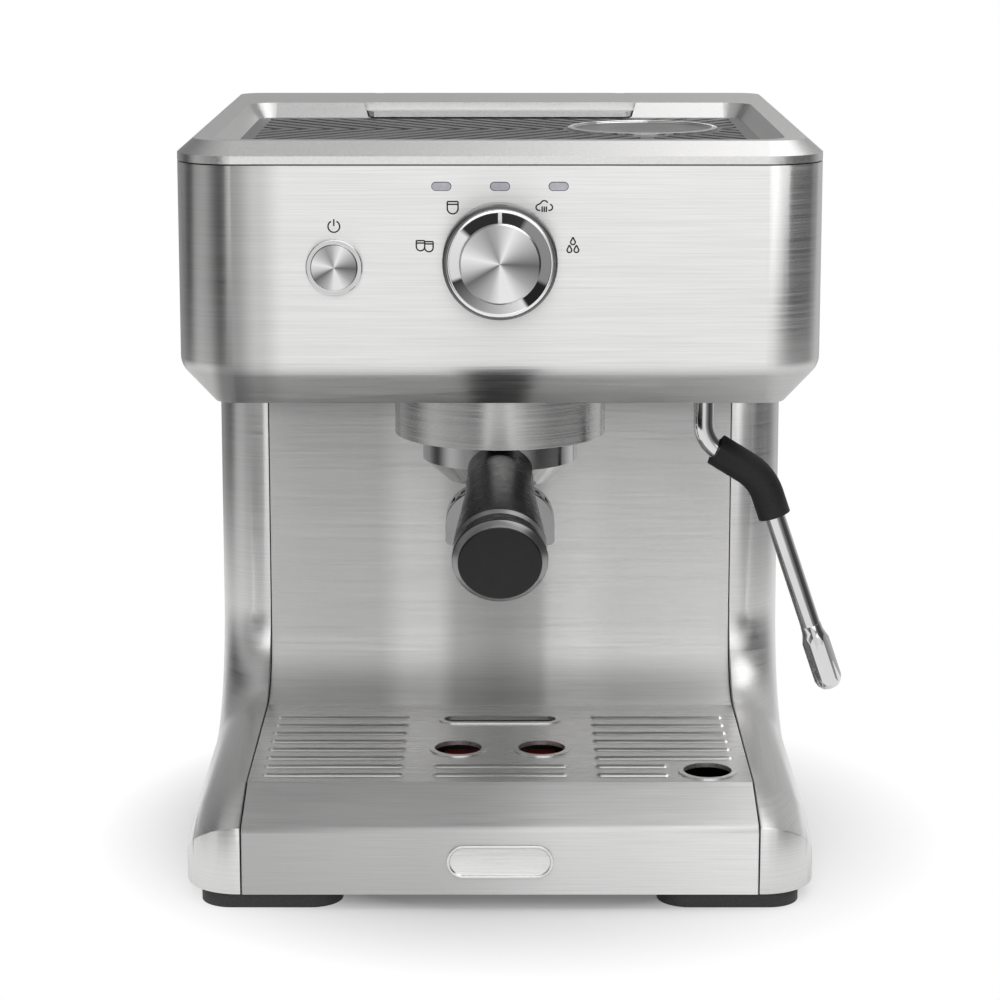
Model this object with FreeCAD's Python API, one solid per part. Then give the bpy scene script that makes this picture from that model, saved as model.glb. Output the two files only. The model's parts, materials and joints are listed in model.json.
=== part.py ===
import FreeCAD
import Part
import math
import os

# Home espresso machine with a brushed steel body, 58 mm group, steam wand, drip tray and rear water tank.
# Millimetres. X runs to the right, Y from the base's front face to the back, Z up from the table.

# Body
body_width = 280.0
body_depth = 295.0
foot_height = 7.0
corner_radius = 25.0
skin = 1.5
moulding = 2.5

# Clearances
seam_gap = 0.5
seat_gap = 0.2
moving_gap = 0.3
running_gap = 0.05
touching = 1e-6

# Base and side panels
cheek_flat = 0.5
crease_height = 37.5
deck_height = 47.0
lip_depth = 37.0
arm_rise = 2.0
column_depth = 103.0
splash_radius = 31.0
sweep_radius = 40.0
pan_thickness = 2.5

# Feet and their screws
foot_length = 63.0
foot_depth = 44.0
foot_corner = 14.0
foot_side_inset = 7.0
front_foot_start = 3.0
rear_foot_inset = 60.0
screw_radius = 1.6
screw_head_radius = 4.0
screw_head_height = 2.5
screw_length = 14.0
screw_inset = 18.0
screw_boss_height = 15.0

# Head and top frame
head_front = 12.0
head_bottom = 222.6
head_bevel_rise = 16.4
head_crease_radius = 10.0
head_crease_steps = 5
head_bevel = 15.0
head_height = 105.4
rear_corner_radius = 18.0
top_seam = 0.6
frame_band = 3.4
frame_bevel_rise = 6.0
frame_bevel = 7.0
frame_skirt = 5.0
well_side_inset = 21.5
well_front_inset = 18.0
well_rear_inset = 7.5
well_depth = 7.0
well_corner = 8.0
well_slope = 5.0
well_ledge = 4.0
cup_grille_thickness = 2.0
under_plate_thickness = 2.5

# Slots of the cup grille and its round cup mark
slot_width = 6.0
slot_pitch = 12.3
slot_lean = 0.87
slot_margin = 6.0
cup_mark_x = 67.5
cup_mark_y = 156.0
cup_mark_radius = 35.0
cup_mark_rim = 2.5
cup_mark_rise = 1.0

# Drip tray, grille and float
tray_side_gap = 2.5
tray_rear_gap = 3.0
tray_wall = 2.5
tray_front_sheet = 2.0
tray_crease_radius = 3.0
grille_thickness = 1.5
rib_radius = 3.0
rib_rise = 1.2
rib_pitch = 13.1
first_rib_inset = 10.0
last_rib_inset = 10.0
side_rib_inner = 46.0
rib_side_inset = 8.0
short_rib_gap = 8.7
short_rib_count = 2
centre_rib_half = 28.5
centre_rib_count = 2
drain_radius = 11.0
drain_rim = 2.5
drain_rim_rise = 0.6
drain_x = 19.5
drain_offset = 1.0
corner_drain_side = 19.3
corner_drain_front = 16.0
drain_slot_length = 54.0
drain_slot_width = 9.0
drain_slot_inset = 26.0
float_half_width = 26.0
float_lead = 10.0
float_depth = 28.0
float_plate = 3.0
float_travel = 4.0
float_post_radius = 3.0
float_wall = 4.0
badge_length = 47.0
badge_height = 15.0
badge_thickness = 1.2
badge_centre = 22.3

# Group and filter holder
group_y = 87.0
collar_wall = 8.8
collar_drop = 23.6
collar_lip = 4.7
collar_rise = 3.4
neck_wall = 3.2
neck_gap = 0.5
lug_reach = 5.2
lug_height = 4.3
lug_angle = 36.0
entry_angle = 42.0
lock_turn = 50.0
gasket_overlap = 3.8
gasket_reach = 0.3
gasket_height = 7.5
holder_ring_step = 1.85
holder_ring_height = 12.0
holder_bowl_drop = 9.0
holder_bowl_taper = 9.35
holder_floor = 2.5
holder_outlet = 6.0
basket_radius = 29.8
basket_wall = 0.8
basket_rim_reach = 3.2
basket_rim = 1.0
basket_depth = 24.0
basket_hole = 1.0
basket_hole_rings = 4
basket_holes_per_ring = 6
screen_gap = 2.5
screen_thickness = 1.5
block_gap = 1.5
block_height = 4.5
screen_screw_head = 5.0
screen_screw_head_height = 2.0
screen_screw_radius = 2.5
spout_width = 50.0
spout_depth = 18.0
spout_height = 25.0
spout_stem = 6.0
spout_shoulder_radius = 16.0
spout_arch_half = 11.0
spout_arch_radius = 8.0
spout_roof = 10.0
spout_bore = 4.5
spout_cross_bore = 3.6
spout_edge = 2.5

# Handle of the filter holder, along a line that droops to the front
handle_root_reach = 36.0
handle_root_drop = 11.0
handle_reach = 106.0
handle_droop = 16.5
handle_root_width = 29.0
handle_root_height = 22.0
handle_waist_width = 31.0
handle_waist_height = 26.0
handle_waist_share = 0.35
handle_swell = 0.95
handle_swell_share = 0.75
handle_tip_width = 40.0
handle_tip_height = 33.0
handle_arm_radius = 6.0
handle_arm_depth = 60.0
end_cap_thickness = 4.0
end_cap_taper = 0.86

# Steam wand, in a plane parallel to the front
wand_inset = 47.0
wand_lead = 5.0
wand_radius = 4.65
wand_rise = 13.4
wand_elbow_drop = 27.9
wand_elbow_radius = 16.0
wand_knee_reach = 27.0
wand_knee_drop = 16.7
wand_knee_radius = 24.0
wand_lower_reach = 24.0
wand_lower_drop = 71.0
nozzle_length = 30.4
nozzle_radius = 6.75
nozzle_tip_radius = 4.0
nozzle_taper = 6.0
nozzle_hole = 1.2
grip_radius = 7.5
grip_start = 6.0
grip_end = 6.0
wand_nut_radius = 9.0
wand_nut_drop = 4.6
wand_sleeve_radius = 7.0

# Controls on the head's front
dial_drop = 40.0
dial_radius = 24.5
dial_reach = 16.0
dial_edge = 2.0
dial_cap_radius = 18.0
dial_cap_reach = 2.0
dial_shaft_radius = 3.0
dial_shaft_depth = 14.0
pointer_width = 1.2
pointer_height = 0.6
button_x = -71.0
button_drop = 43.4
button_radius = 9.7
button_proud = 3.8
button_depth = 4.0
button_stem_radius = 4.0
button_travel = 2.5
bezel_radius = 12.15
bezel_reach = 3.0
bezel_sleeve = 1.2
bezel_sleeve_depth = 6.0
lens_drop = 8.8
lens_length = 8.0
lens_height = 3.3
lens_pitch = 25.0
lens_proud = 0.6
board_gap = 20.5
board_thickness = 1.6
board_left = -104.0
board_right = 62.0
board_height = 60.0
board_drop = 5.0
board_post_radius = 3.0
board_post_inset = 8.0
dial_switch_size = 30.0
dial_switch_gap = 2.5
power_switch_size = 14.0
power_switch_depth = 10.0

# Water tank, its bay, lid and valve
tank_side_inset = 40.0
tank_rear_inset = 9.0
tank_depth = 51.5
tank_wall = 2.5
tank_corner = 8.0
tank_rim_rise = 0.4
bay_floor = 126.5
bay_gap = 2.5
lid_lead = 8.0
lid_tab_half = 62.0
lid_tab_reach = 13.0
lid_tab_drop = 0.4
lid_tab_thickness = 2.6
lid_tab_slant = 6.0
pivot_inset = 6.0
pivot_rise = 2.0
pivot_pin_radius = 1.2
pivot_pin_overlap = 4.0
lid_nose_radius = 3.3
ear_x = 60.0
ear_width = 4.0
ear_radius = 2.2
valve_x = 60.0
valve_stem = 2.5
valve_disc = 8.0
valve_disc_height = 2.0
valve_lift = 3.0
valve_drain = 1.2
valve_drain_count = 6
valve_drain_ring = 5.0
socket_radius = 12.0
socket_depth = 14.0
socket_pin = 2.0
socket_spigot = 4.0
socket_spigot_length = 10.0

# Rear panel
rear_panel_thickness = 2.5
window_side_inset = 5.0
window_sill = 13.5
window_drop = 12.0
vent_width = 3.0
vent_length = 60.0
vent_pitch = 8.0
vent_count = 6
vent_z = 60.0
gland_inset = 56.0
gland_z = 34.0
gland_radius = 9.0
gland_flange = 11.0
gland_reach = 3.0
gland_bore = 4.0

# Boiler, pump and pipes
boiler_radius = 34.0
boiler_height = 50.0
boiler_flange = 40.0
boiler_flange_height = 6.0
boiler_inlet_rise = 36.0
thermostat_radius = 9.0
thermostat_height = 8.0
valve_block_width = 24.0
valve_block_height = 30.0
valve_block_rise = 8.0
valve_coil_radius = 10.0
valve_coil_height = 20.0
pump_x = -20.0
pump_z = 52.0
pump_length = 112.0
pump_radius = 16.0
pump_coil = 46.0
pump_coil_length = 52.0
mount_thickness = 12.0
mount_depth = 44.0
mount_offset = 42.0
hose_radius = 3.5
hose_bend = 10.0
riser_reach = 19.0
riser_gap = 22.5

# Values worked out from those above
half_width = body_width / 2
bay_half = half_width - corner_radius - cheek_flat
tray_half = bay_half - seam_gap
pan_top = foot_height + pan_thickness
splash_front = body_depth - column_depth
deck_rear = splash_front - splash_radius
rear_foot_start = body_depth - rear_foot_inset
front_inside = head_front + skin
head_crease = head_bottom + head_bevel_rise
head_top = head_bottom + head_height
tank_half_width = half_width - tank_side_inset
tank_rear = body_depth - tank_rear_inset
tank_front = tank_rear - tank_depth
tank_bottom = bay_floor + moving_gap
frame_bottom = head_top + top_seam
frame_shoulder = frame_bottom + frame_band
frame_ridge = frame_shoulder + frame_bevel_rise
tank_top = frame_bottom + tank_rim_rise
lid_bottom = frame_shoulder
lid_front = tank_front - lid_lead
pivot_y = body_depth - pivot_inset
pivot_z = lid_bottom + pivot_rise
well_half_width = half_width - well_side_inset
well_front = head_front + well_front_inset
well_rear = lid_front - well_rear_inset
well_height = frame_ridge - well_depth
first_rib = lip_depth + first_rib_inset
rib_rows = 1 + int((deck_rear - last_rib_inset - first_rib) / rib_pitch)
drain_y = group_y + drain_offset
corner_drain_x = tray_half - corner_drain_side
corner_drain_y = lip_depth + corner_drain_front
side_rib_outer = tray_half - rib_side_inset
short_rib_outer = corner_drain_x - drain_radius - short_rib_gap
drain_slot_y = deck_rear - drain_slot_inset
float_front = drain_y - float_lead
float_rear = float_front + float_depth
collar_bottom = head_bottom - collar_drop
collar_top = head_bottom + collar_rise
neck_radius = basket_radius + seam_gap + neck_wall
groove_radius = neck_radius + lug_reach + neck_gap
collar_radius = groove_radius + collar_wall
holder_ring_radius = neck_radius + holder_ring_step
holder_bowl_base = holder_ring_radius - holder_bowl_taper
basket_rim_radius = basket_radius + basket_rim_reach
gasket_outer = basket_rim_radius + gasket_overlap
gasket_inner = basket_radius - gasket_reach
screen_radius = gasket_inner - screen_gap
block_radius = gasket_inner - block_gap
lug_bottom = collar_bottom + collar_lip + moving_gap
holder_top = lug_bottom + lug_height - seam_gap
basket_top = holder_top + basket_rim
gasket_bottom = basket_top + moving_gap
gasket_top = gasket_bottom + gasket_height
bowl_top = collar_bottom - holder_ring_height
bowl_bottom = bowl_top - holder_bowl_drop
spout_shoulder = bowl_bottom - spout_stem
spout_bottom = spout_shoulder - spout_height
spout_arch_top = spout_shoulder - spout_roof
handle_root_y = group_y - handle_root_reach
handle_root_z = collar_bottom - handle_root_drop
handle_tip_y = handle_root_y - handle_reach
handle_tip_z = handle_root_z - handle_droop
wand_x = half_width - wand_inset
wand_y = group_y - wand_lead
wand_top = head_bottom + wand_rise
wand_elbow_z = head_bottom - wand_elbow_drop
wand_knee_x = wand_x + wand_knee_reach
wand_knee_z = wand_elbow_z - wand_knee_drop
wand_nozzle_x = wand_knee_x + wand_lower_reach
wand_nozzle_z = wand_knee_z - wand_lower_drop
grip_start_x = wand_x + grip_start
grip_end_x = wand_knee_x + grip_end
dial_z = head_top - dial_drop
button_z = head_top - button_drop
lens_z = head_top - lens_drop
board_y = front_inside + board_gap
board_top = head_top - board_drop
board_bottom = board_top - board_height
button_stem_end = board_y - power_switch_depth - button_travel - 2 * moving_gap
window_half_width = tank_half_width - window_side_inset
window_bottom = bay_floor + window_sill
window_top = head_top - window_drop
boiler_inlet_z = collar_top + boiler_inlet_rise
valve_block_base = collar_top + valve_block_rise
valve_y = tank_front + tank_depth / 2
pump_y = valve_y
gland_x = gland_inset - half_width
riser_x = pump_x - pump_length / 2 - riser_reach
riser_y = tank_front - riser_gap

nodes = {}


def vector(x, y, z):
    return FreeCAD.Vector(x, y, z)


def block(x0, x1, y0, y1, z0, z1):
    return Part.makeBox(x1 - x0, y1 - y0, z1 - z0, vector(x0, y0, z0))


def post(radius, z0, z1, x, y):
    """Upright cylinder."""
    return Part.makeCylinder(radius, z1 - z0, vector(x, y, z0))


def spindle(radius, y0, y1, x, z):
    """Cylinder along Y, front to back."""
    return Part.makeCylinder(radius, y1 - y0, vector(x, y0, z), vector(0, 1, 0))


def crossbar(radius, x0, x1, y, z):
    """Cylinder along X, left to right."""
    return Part.makeCylinder(radius, x1 - x0, vector(x0, y, z), vector(1, 0, 0))


def level(z):
    """Places plan outlines at a height."""
    return lambda u, v: vector(u, v, z)


def side_on(x):
    """Places side profiles, given as depth and height, at an X."""
    return lambda u, v: vector(x, u, v)


def front_on(y):
    """Places front profiles, given as width and height, at a Y."""
    return lambda u, v: vector(u, y, v)


def corner_arc(before, corner, after, radius):
    """Start, middle and end of the arc that rounds a corner of a path."""
    back = before - corner
    ahead = after - corner
    back.normalize()
    ahead.normalize()
    half_angle = back.getAngle(ahead) / 2
    run = radius / math.tan(half_angle)
    bisector = back + ahead
    bisector.normalize()
    middle = corner + bisector * (radius / math.sin(half_angle) - radius)
    return corner + back * run, middle, corner + ahead * run


def rounded_path(points, closed):
    """Wire of straight runs and tangent arcs through points given as (vector, corner radius)."""
    count = len(points)
    stops = []
    for index, (point, radius) in enumerate(points):
        turns = closed or 0 < index < count - 1
        if radius > 0 and turns:
            following = points[(index + 1) % count][0]
            stops.append(corner_arc(points[index - 1][0], point, following, radius))
        else:
            stops.append((point, None, point))
    edges = []
    for index, (start, middle, end) in enumerate(stops):
        if middle is not None:
            edges.append(Part.Arc(start, middle, end).toShape())
        if index == count - 1 and not closed:
            continue
        following = stops[(index + 1) % count][0]
        if (following - end).Length > touching:
            edges.append(Part.LineSegment(end, following).toShape())
    return Part.Wire(edges)


def outline(corners, place):
    """Closed outline from corners given as (u, v, radius)."""
    return rounded_path([(place(u, v), radius) for u, v, radius in corners], True)


def prism(corners, place, run):
    return Part.Face(outline(corners, place)).extrude(run)


def tube(points, radius):
    """Round bar along an open path of straight runs and tangent arcs."""
    start = points[0][0]
    section = Part.Wire(Part.makeCircle(radius, start, points[1][0] - start))
    return rounded_path(points, False).makePipeShell([section], True, False)


def mirrored(shape):
    return shape.mirror(vector(0, 0, 0), vector(1, 0, 0))


def loft(lower, upper):
    return Part.makeLoft([lower, upper], True, True)


def pill(length, height, place, run):
    """Bar with round ends, drawn about the origin of its profile."""
    half = length / 2
    rise = height / 2
    corners = [(-half, -rise, rise), (half, -rise, rise), (half, rise, rise), (-half, rise, rise)]
    return prism(corners, place, run)


def lip_points(inset):
    """Crease and rear end of the base's front lip, moved in by a sheet's thickness."""
    rise = deck_height - crease_height
    slope_length = math.hypot(lip_depth, rise)
    drop = inset * slope_length / lip_depth
    slope = rise / lip_depth
    return (inset, crease_height - drop + inset * slope), (lip_depth, deck_height - drop)


def cheek_corners(inset):
    """Side view of a side panel: base arm, sweep and column."""
    crease, lip_end = lip_points(inset)
    front = splash_front + inset
    rear = body_depth - inset
    top = head_crease + inset
    bottom = foot_height - inset
    return [(inset, bottom, 0), (crease[0], crease[1], 0), (lip_end[0], lip_end[1], 0),
            (front, deck_height + arm_rise - inset, sweep_radius + inset), (front, top, 0),
            (rear, top, 0), (rear, bottom, 0)]


def cheek(inset):
    """Right-hand side panel's outer form, with its outer edge rolled over at the front, top and back."""
    inner_face = bay_half - inset
    outer_face = half_width - inset
    solid = prism(cheek_corners(inset), side_on(inner_face), vector(outer_face - inner_face, 0, 0))
    rolled = []
    turned = []
    for edge in solid.Edges:
        box = edge.BoundBox
        on_side = abs(box.XMin - outer_face) < touching and abs(box.XMax - outer_face) < touching
        at_front = box.YMax < splash_front + inset + touching
        if on_side and at_front:
            rolled.append(edge)
        if on_side and abs(box.YMin - body_depth + inset) < touching:
            turned.append(edge)
    solid = solid.makeFillet(rear_corner_radius - inset, turned).Solids[0]
    return roll_front(solid, rolled, corner_radius - inset)


def roll_front(solid, edges, radius):
    """Fillets the edges of a solid that match edges of its earlier form."""
    middles = [edge.CenterOfMass for edge in edges]
    matching = [edge for edge in solid.Edges
                if any((edge.CenterOfMass - middle).Length < touching for middle in middles)]
    return solid.makeFillet(radius, matching).Solids[0]


def side_panels():
    form = cheek(0)
    panel = form.cut(cheek(skin))
    nodes["right_side_panel"] = panel
    nodes["left_side_panel"] = mirrored(panel)
    return form


def screw_places():
    """Centres of the four base screws, which also hold the feet."""
    for side in (-1, 1):
        for start in (front_foot_start, rear_foot_start):
            yield side * (half_width - screw_inset), start + foot_depth / 2


def liners():
    """Moulded inner walls of the side panels, with bosses for the base screws."""
    corners = cheek_corners(skin + seat_gap)
    wall = prism(corners, side_on(bay_half), vector(moulding, 0, 0))
    limits = block(0, half_width, 0, body_depth - rear_panel_thickness, pan_top, head_crease)
    liner = wall.common(limits)
    for x, y in screw_places():
        if x > 0:
            reach = x + screw_head_radius
            boss = block(bay_half, reach, y - screw_head_radius, y + screw_head_radius,
                         pan_top, pan_top + screw_boss_height)
            liner = liner.fuse(boss).cut(post(screw_radius, 0, pan_top + screw_boss_height, x, y))
    liner = liner.removeSplitter()
    nodes["right_liner"] = liner
    nodes["left_liner"] = mirrored(liner)


def base_pan():
    """Floor of the machine, with the rear wall of the tray's bay."""
    inset = skin + seat_gap
    front = tray_front_sheet + seam_gap
    radius = corner_radius - inset
    rear = body_depth - rear_panel_thickness
    side = half_width - inset
    corners = [(-side, front, radius), (side, front, radius),
               (side, rear, rear_corner_radius), (-side, rear, rear_corner_radius)]
    pan = prism(corners, level(foot_height), vector(0, 0, pan_thickness))
    wall_front = deck_rear + skin
    wall = block(-bay_half, bay_half, wall_front, wall_front + moulding,
                 pan_top, deck_height - skin - seat_gap)
    pan = pan.fuse(wall)
    for x, y in screw_places():
        pan = pan.cut(post(screw_radius + seat_gap, 0, pan_top, x, y))
    nodes["base_pan"] = pan.removeSplitter()


def feet_and_screws():
    feet = []
    screws = []
    for x, y in screw_places():
        side = math.copysign(1, x)
        outer = side * (half_width - foot_side_inset)
        inner = outer - side * foot_length
        low, high = min(outer, inner), max(outer, inner)
        corners = [(low, y - foot_depth / 2, foot_corner), (high, y - foot_depth / 2, foot_corner),
                   (high, y + foot_depth / 2, foot_corner), (low, y + foot_depth / 2, foot_corner)]
        foot = prism(corners, level(0), vector(0, 0, foot_height))
        feet.append(foot.cut(post(screw_head_radius + seam_gap, 0, foot_height, x, y)))
        head = post(screw_head_radius, foot_height - screw_head_height, foot_height, x, y)
        screws.append(head.fuse(post(screw_radius, foot_height, foot_height + screw_length, x, y)))
    nodes["feet"] = Part.makeCompound(feet)
    nodes["base_screws"] = Part.makeCompound(screws)


def backsplash():
    """Steel sheet behind the cup space, curved forward to the drip grille."""
    radius = splash_radius
    width = tray_half + moving_gap - seat_gap
    rear = splash_front + skin
    corners = [(deck_rear, deck_height, 0), (splash_front, deck_height, radius),
               (splash_front, head_bottom - seat_gap, 0), (rear, head_bottom - seat_gap, 0),
               (rear, deck_height - skin, radius + skin), (deck_rear, deck_height - skin, 0)]
    nodes["backsplash"] = prism(corners, side_on(-width), vector(2 * width, 0, 0))


def head_outline(inset, z, rear_inset):
    """Plan outline of the head, moved in at the front and sides, and by its own inset at the rear."""
    side = half_width - inset
    front = head_front + inset
    rear = body_depth - rear_inset
    front_radius = max(corner_radius - inset, moulding)
    rear_radius = max(rear_corner_radius - inset, moulding)
    corners = [(-side, front, front_radius), (side, front, front_radius),
               (side, rear, rear_radius), (-side, rear, rear_radius)]
    return outline(corners, level(z))


def head_sections(inset):
    """Outlines down the head's soft crease, from the upright wrap to the foot of the bevel."""
    slope = math.atan2(head_bevel, head_bevel_rise)
    top = head_crease + head_crease_radius * math.tan(slope / 2)
    sections = []
    for step in range(head_crease_steps + 1):
        angle = slope * step / head_crease_steps
        offset = head_crease_radius * (1 - math.cos(angle))
        z = top - head_crease_radius * math.sin(angle)
        sections.append(head_outline(inset + offset, z, inset))
    sections.append(head_outline(inset + head_bevel, head_bottom, inset))
    return sections


def head_form(inset):
    """Upright wrap above a bevel that turns in to the underside; the inner form has open ends."""
    sections = head_sections(inset)
    height = head_top + inset - sections[0].BoundBox.ZMin
    form = Part.Face(sections[0]).extrude(vector(0, 0, height))
    for upper, lower in zip(sections, sections[1:]):
        form = form.fuse(loft(lower, upper))
    if inset > 0:
        form = form.fuse(Part.Face(sections[-1]).extrude(vector(0, 0, -inset)))
    return form


def button_axis_cut(radius):
    return spindle(radius, head_front - skin, front_inside + skin, button_x, button_z)


def head_shell(cheek_form):
    """Steel wrap of the head, with holes for the dial, the button and the lights."""
    shell = head_form(0).cut(head_form(skin))
    rear_gap = block(-bay_half, bay_half, body_depth - corner_radius, body_depth, 0, head_top)
    shell = shell.cut([cheek_form, mirrored(cheek_form), rear_gap])
    shell = shell.cut(button_axis_cut(bezel_radius - bezel_sleeve + seat_gap))
    shaft_hole = dial_shaft_radius + moving_gap
    shell = shell.cut(spindle(shaft_hole, head_front - skin, front_inside + skin, 0, dial_z))
    for x in lens_centres():
        hole = lens_form(x, lens_length + 2 * seat_gap, lens_height + 2 * seat_gap, front_inside + skin)
        shell = shell.cut(hole)
    nodes["head_shell"] = shell.removeSplitter()


def lens_centres():
    return (-lens_pitch, 0, lens_pitch)


def lens_form(x, length, height, rear):
    front = head_front - lens_proud
    bar = pill(length, height, front_on(front), vector(0, rear - front, 0))
    return bar.translated(vector(x, 0, lens_z))


def head_underplate():
    """Closes the head's underside round the group collar and the wand's socket."""
    inset = head_bevel + skin + seat_gap
    plate = Part.Face(head_outline(inset, head_bottom, 0)).extrude(vector(0, 0, under_plate_thickness))
    plate = plate.cut(block(-body_width, body_width, splash_front - seat_gap, body_depth,
                            0, head_top))
    plate = plate.cut(post(collar_radius + seat_gap, 0, head_top, 0, group_y))
    nodes["head_underplate"] = plate.cut(post(wand_sleeve_radius + seat_gap, 0, head_top, wand_x, wand_y))


def well_outline(margin, z):
    """Outline of the sunken cup shelf, moved outwards by a margin."""
    side = well_half_width + margin
    radius = well_corner + margin
    corners = [(-side, well_front - margin, radius), (side, well_front - margin, radius),
               (side, well_rear + margin, radius), (-side, well_rear + margin, radius)]
    return outline(corners, level(z))


def top_form():
    """Outer form of the machine's top: an upright band and a bevel up to the ridge."""
    band = Part.Face(head_outline(0, frame_bottom, 0)).extrude(vector(0, 0, frame_band))
    shoulder = head_outline(0, frame_shoulder, 0)
    ridge = head_outline(frame_bevel, frame_ridge, frame_bevel)
    return band.fuse(loft(shoulder, ridge))


def top_frame(form):
    """Bevelled frame round the cup shelf, cut away at the back for the tank and its lid."""
    inset = skin + seat_gap
    skirt = Part.Face(head_outline(inset, frame_bottom - frame_skirt, rear_panel_thickness + seat_gap))
    frame = form.fuse(skirt.extrude(vector(0, 0, frame_skirt)))
    slope = loft(well_outline(0, well_height), well_outline(well_slope, frame_ridge))
    shelf = well_height - cup_grille_thickness
    seat = Part.Face(well_outline(moving_gap, shelf)).extrude(vector(0, 0, cup_grille_thickness))
    opening = Part.Face(well_outline(-well_ledge, frame_bottom - frame_skirt))
    opening = opening.extrude(vector(0, 0, frame_ridge - frame_bottom))
    lid_seat = lid_bottom - moving_gap
    lid_space = block(-half_width, half_width, lid_front - seam_gap, pivot_y, lid_seat, frame_ridge)
    nose_groove = crossbar(lid_nose_radius + moving_gap, -half_width, half_width, pivot_y, pivot_z)
    tank_side = tank_half_width + bay_gap + moulding
    tank_opening = block(-tank_side, tank_side, tank_front - bay_gap, tank_rear + bay_gap, 0, frame_ridge)
    notch_half = lid_tab_half + seam_gap
    notch_front = well_rear - well_slope
    tab_front = lid_front - lid_tab_reach
    corners = [(-notch_half, notch_front, 0), (notch_half, notch_front, 0), (notch_half, tab_front, 0),
               (notch_half + lid_tab_slant, lid_front, 0), (-notch_half - lid_tab_slant, lid_front, 0),
               (-notch_half, tab_front, 0)]
    notch_floor = lid_seat - lid_tab_drop
    tab_notch = prism(corners, level(notch_floor), vector(0, 0, frame_ridge - notch_floor))
    ear_slots = [block(x - seam_gap, x + ear_width + seam_gap, tank_rear, pivot_y + ear_radius + moving_gap,
                       0, frame_ridge) for x in ear_starts()]
    cuts = [slope, seat, opening, lid_space, nose_groove, tank_opening, tab_notch] + ear_slots
    nodes["top_frame"] = frame.cut(cuts).removeSplitter()


def chevron_slot(apex, direction, z):
    """Slot through the cup shelf: two slanted arms that meet in a point beside the cup mark's centre."""
    front = well_front + slot_margin
    rear = well_rear - slot_margin
    half = slot_width / 2
    front_x = apex - direction * slot_lean * (cup_mark_y - front)
    rear_x = apex - direction * slot_lean * (rear - cup_mark_y)
    corners = [(front_x - half, front, 0), (front_x + half, front, 0), (apex + half, cup_mark_y, 0),
               (rear_x + half, rear, 0), (rear_x - half, rear, 0), (apex - half, cup_mark_y, 0)]
    return prism(corners, level(z), vector(0, 0, cup_grille_thickness))


def cup_grille():
    """Slotted cup-warming shelf; the slots point at a plain round cup mark with a raised rim."""
    bottom = well_height - cup_grille_thickness
    plate = Part.Face(well_outline(moving_gap - seat_gap, bottom)).extrude(vector(0, 0, cup_grille_thickness))
    side = well_half_width - slot_margin
    bridge = (slot_pitch - slot_width) / 2
    left_field = block(-side, cup_mark_x - bridge, 0, body_depth, bottom, well_height)
    right_field = block(cup_mark_x + bridge, side, 0, body_depth, bottom, well_height)
    before_mark = int(slot_lean * (cup_mark_y - well_front) / slot_pitch)
    pattern = []
    for direction, field in ((1, left_field), (-1, right_field)):
        beyond_mark = int((side + direction * cup_mark_x) / slot_pitch)
        slots = [chevron_slot(cup_mark_x - direction * index * slot_pitch, direction, bottom)
                 for index in range(-before_mark, beyond_mark + 1)]
        pattern.append(Part.makeCompound(slots).common(field))
    clear = post(cup_mark_radius + cup_mark_rim, bottom, well_height, cup_mark_x, cup_mark_y)
    pattern = Part.makeCompound(pattern).cut(clear)
    rim_top = well_height + cup_mark_rise
    rim = post(cup_mark_radius, well_height, rim_top, cup_mark_x, cup_mark_y)
    rim = rim.cut(post(cup_mark_radius - cup_mark_rim, well_height, rim_top, cup_mark_x, cup_mark_y))
    nodes["cup_grille"] = plate.cut(pattern).fuse(rim).removeSplitter()


def rear_panel():
    """Back cover with a window on to the water tank, vents and the cord's hole."""
    side = bay_half - seat_gap
    front = body_depth - rear_panel_thickness
    top = frame_bottom - frame_skirt - seat_gap
    panel = block(-side, side, front, body_depth, foot_height, top)
    panel = panel.cut(block(-window_half_width, window_half_width, front, body_depth,
                            window_bottom, window_top))
    for index in range(vent_count):
        vent = pill(vent_length, vent_width, front_on(front), vector(0, rear_panel_thickness, 0))
        panel = panel.cut(vent.translated(vector(0, 0, vent_z + index * vent_pitch)))
    nodes["rear_panel"] = panel.cut(spindle(gland_radius, front, body_depth, gland_x, gland_z))


def cord_gland():
    front = body_depth - rear_panel_thickness - gland_reach
    gland = spindle(gland_radius, front, body_depth, gland_x, gland_z)
    gland = gland.fuse(spindle(gland_flange, body_depth, body_depth + gland_reach, gland_x, gland_z))
    bore = spindle(gland_bore, front, body_depth + gland_reach, gland_x, gland_z)
    nodes["cord_gland"] = gland.cut(bore).removeSplitter()


def tank_bay():
    """Moulded bay that the water tank drops into; its floor holds the socket."""
    side = tank_half_width + bay_gap
    front = tank_front - bay_gap
    rear = body_depth - rear_panel_thickness
    top = frame_bottom - frame_skirt - seat_gap
    outside = block(-side - moulding, side + moulding, front - moulding, rear, bay_floor - moulding, top)
    inside = block(-side, side, front, rear, bay_floor, top)
    bay = outside.cut(inside)
    nodes["tank_bay"] = bay.cut(post(socket_radius, 0, bay_floor, valve_x, valve_y))


def tank_socket():
    """Socket under the tank, with the pin that holds the tank's valve open."""
    bottom = bay_floor - socket_depth
    body = post(socket_radius, bottom, bay_floor, valve_x, valve_y)
    body = body.cut(post(socket_radius - moulding, bottom + moulding, bay_floor, valve_x, valve_y))
    pin = post(socket_pin, bottom, tank_bottom - seat_gap, valve_x, valve_y)
    spigot = post(socket_spigot, bottom - socket_spigot_length, bottom, valve_x, valve_y)
    nodes["tank_socket"] = body.fuse([pin, spigot]).removeSplitter()


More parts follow.
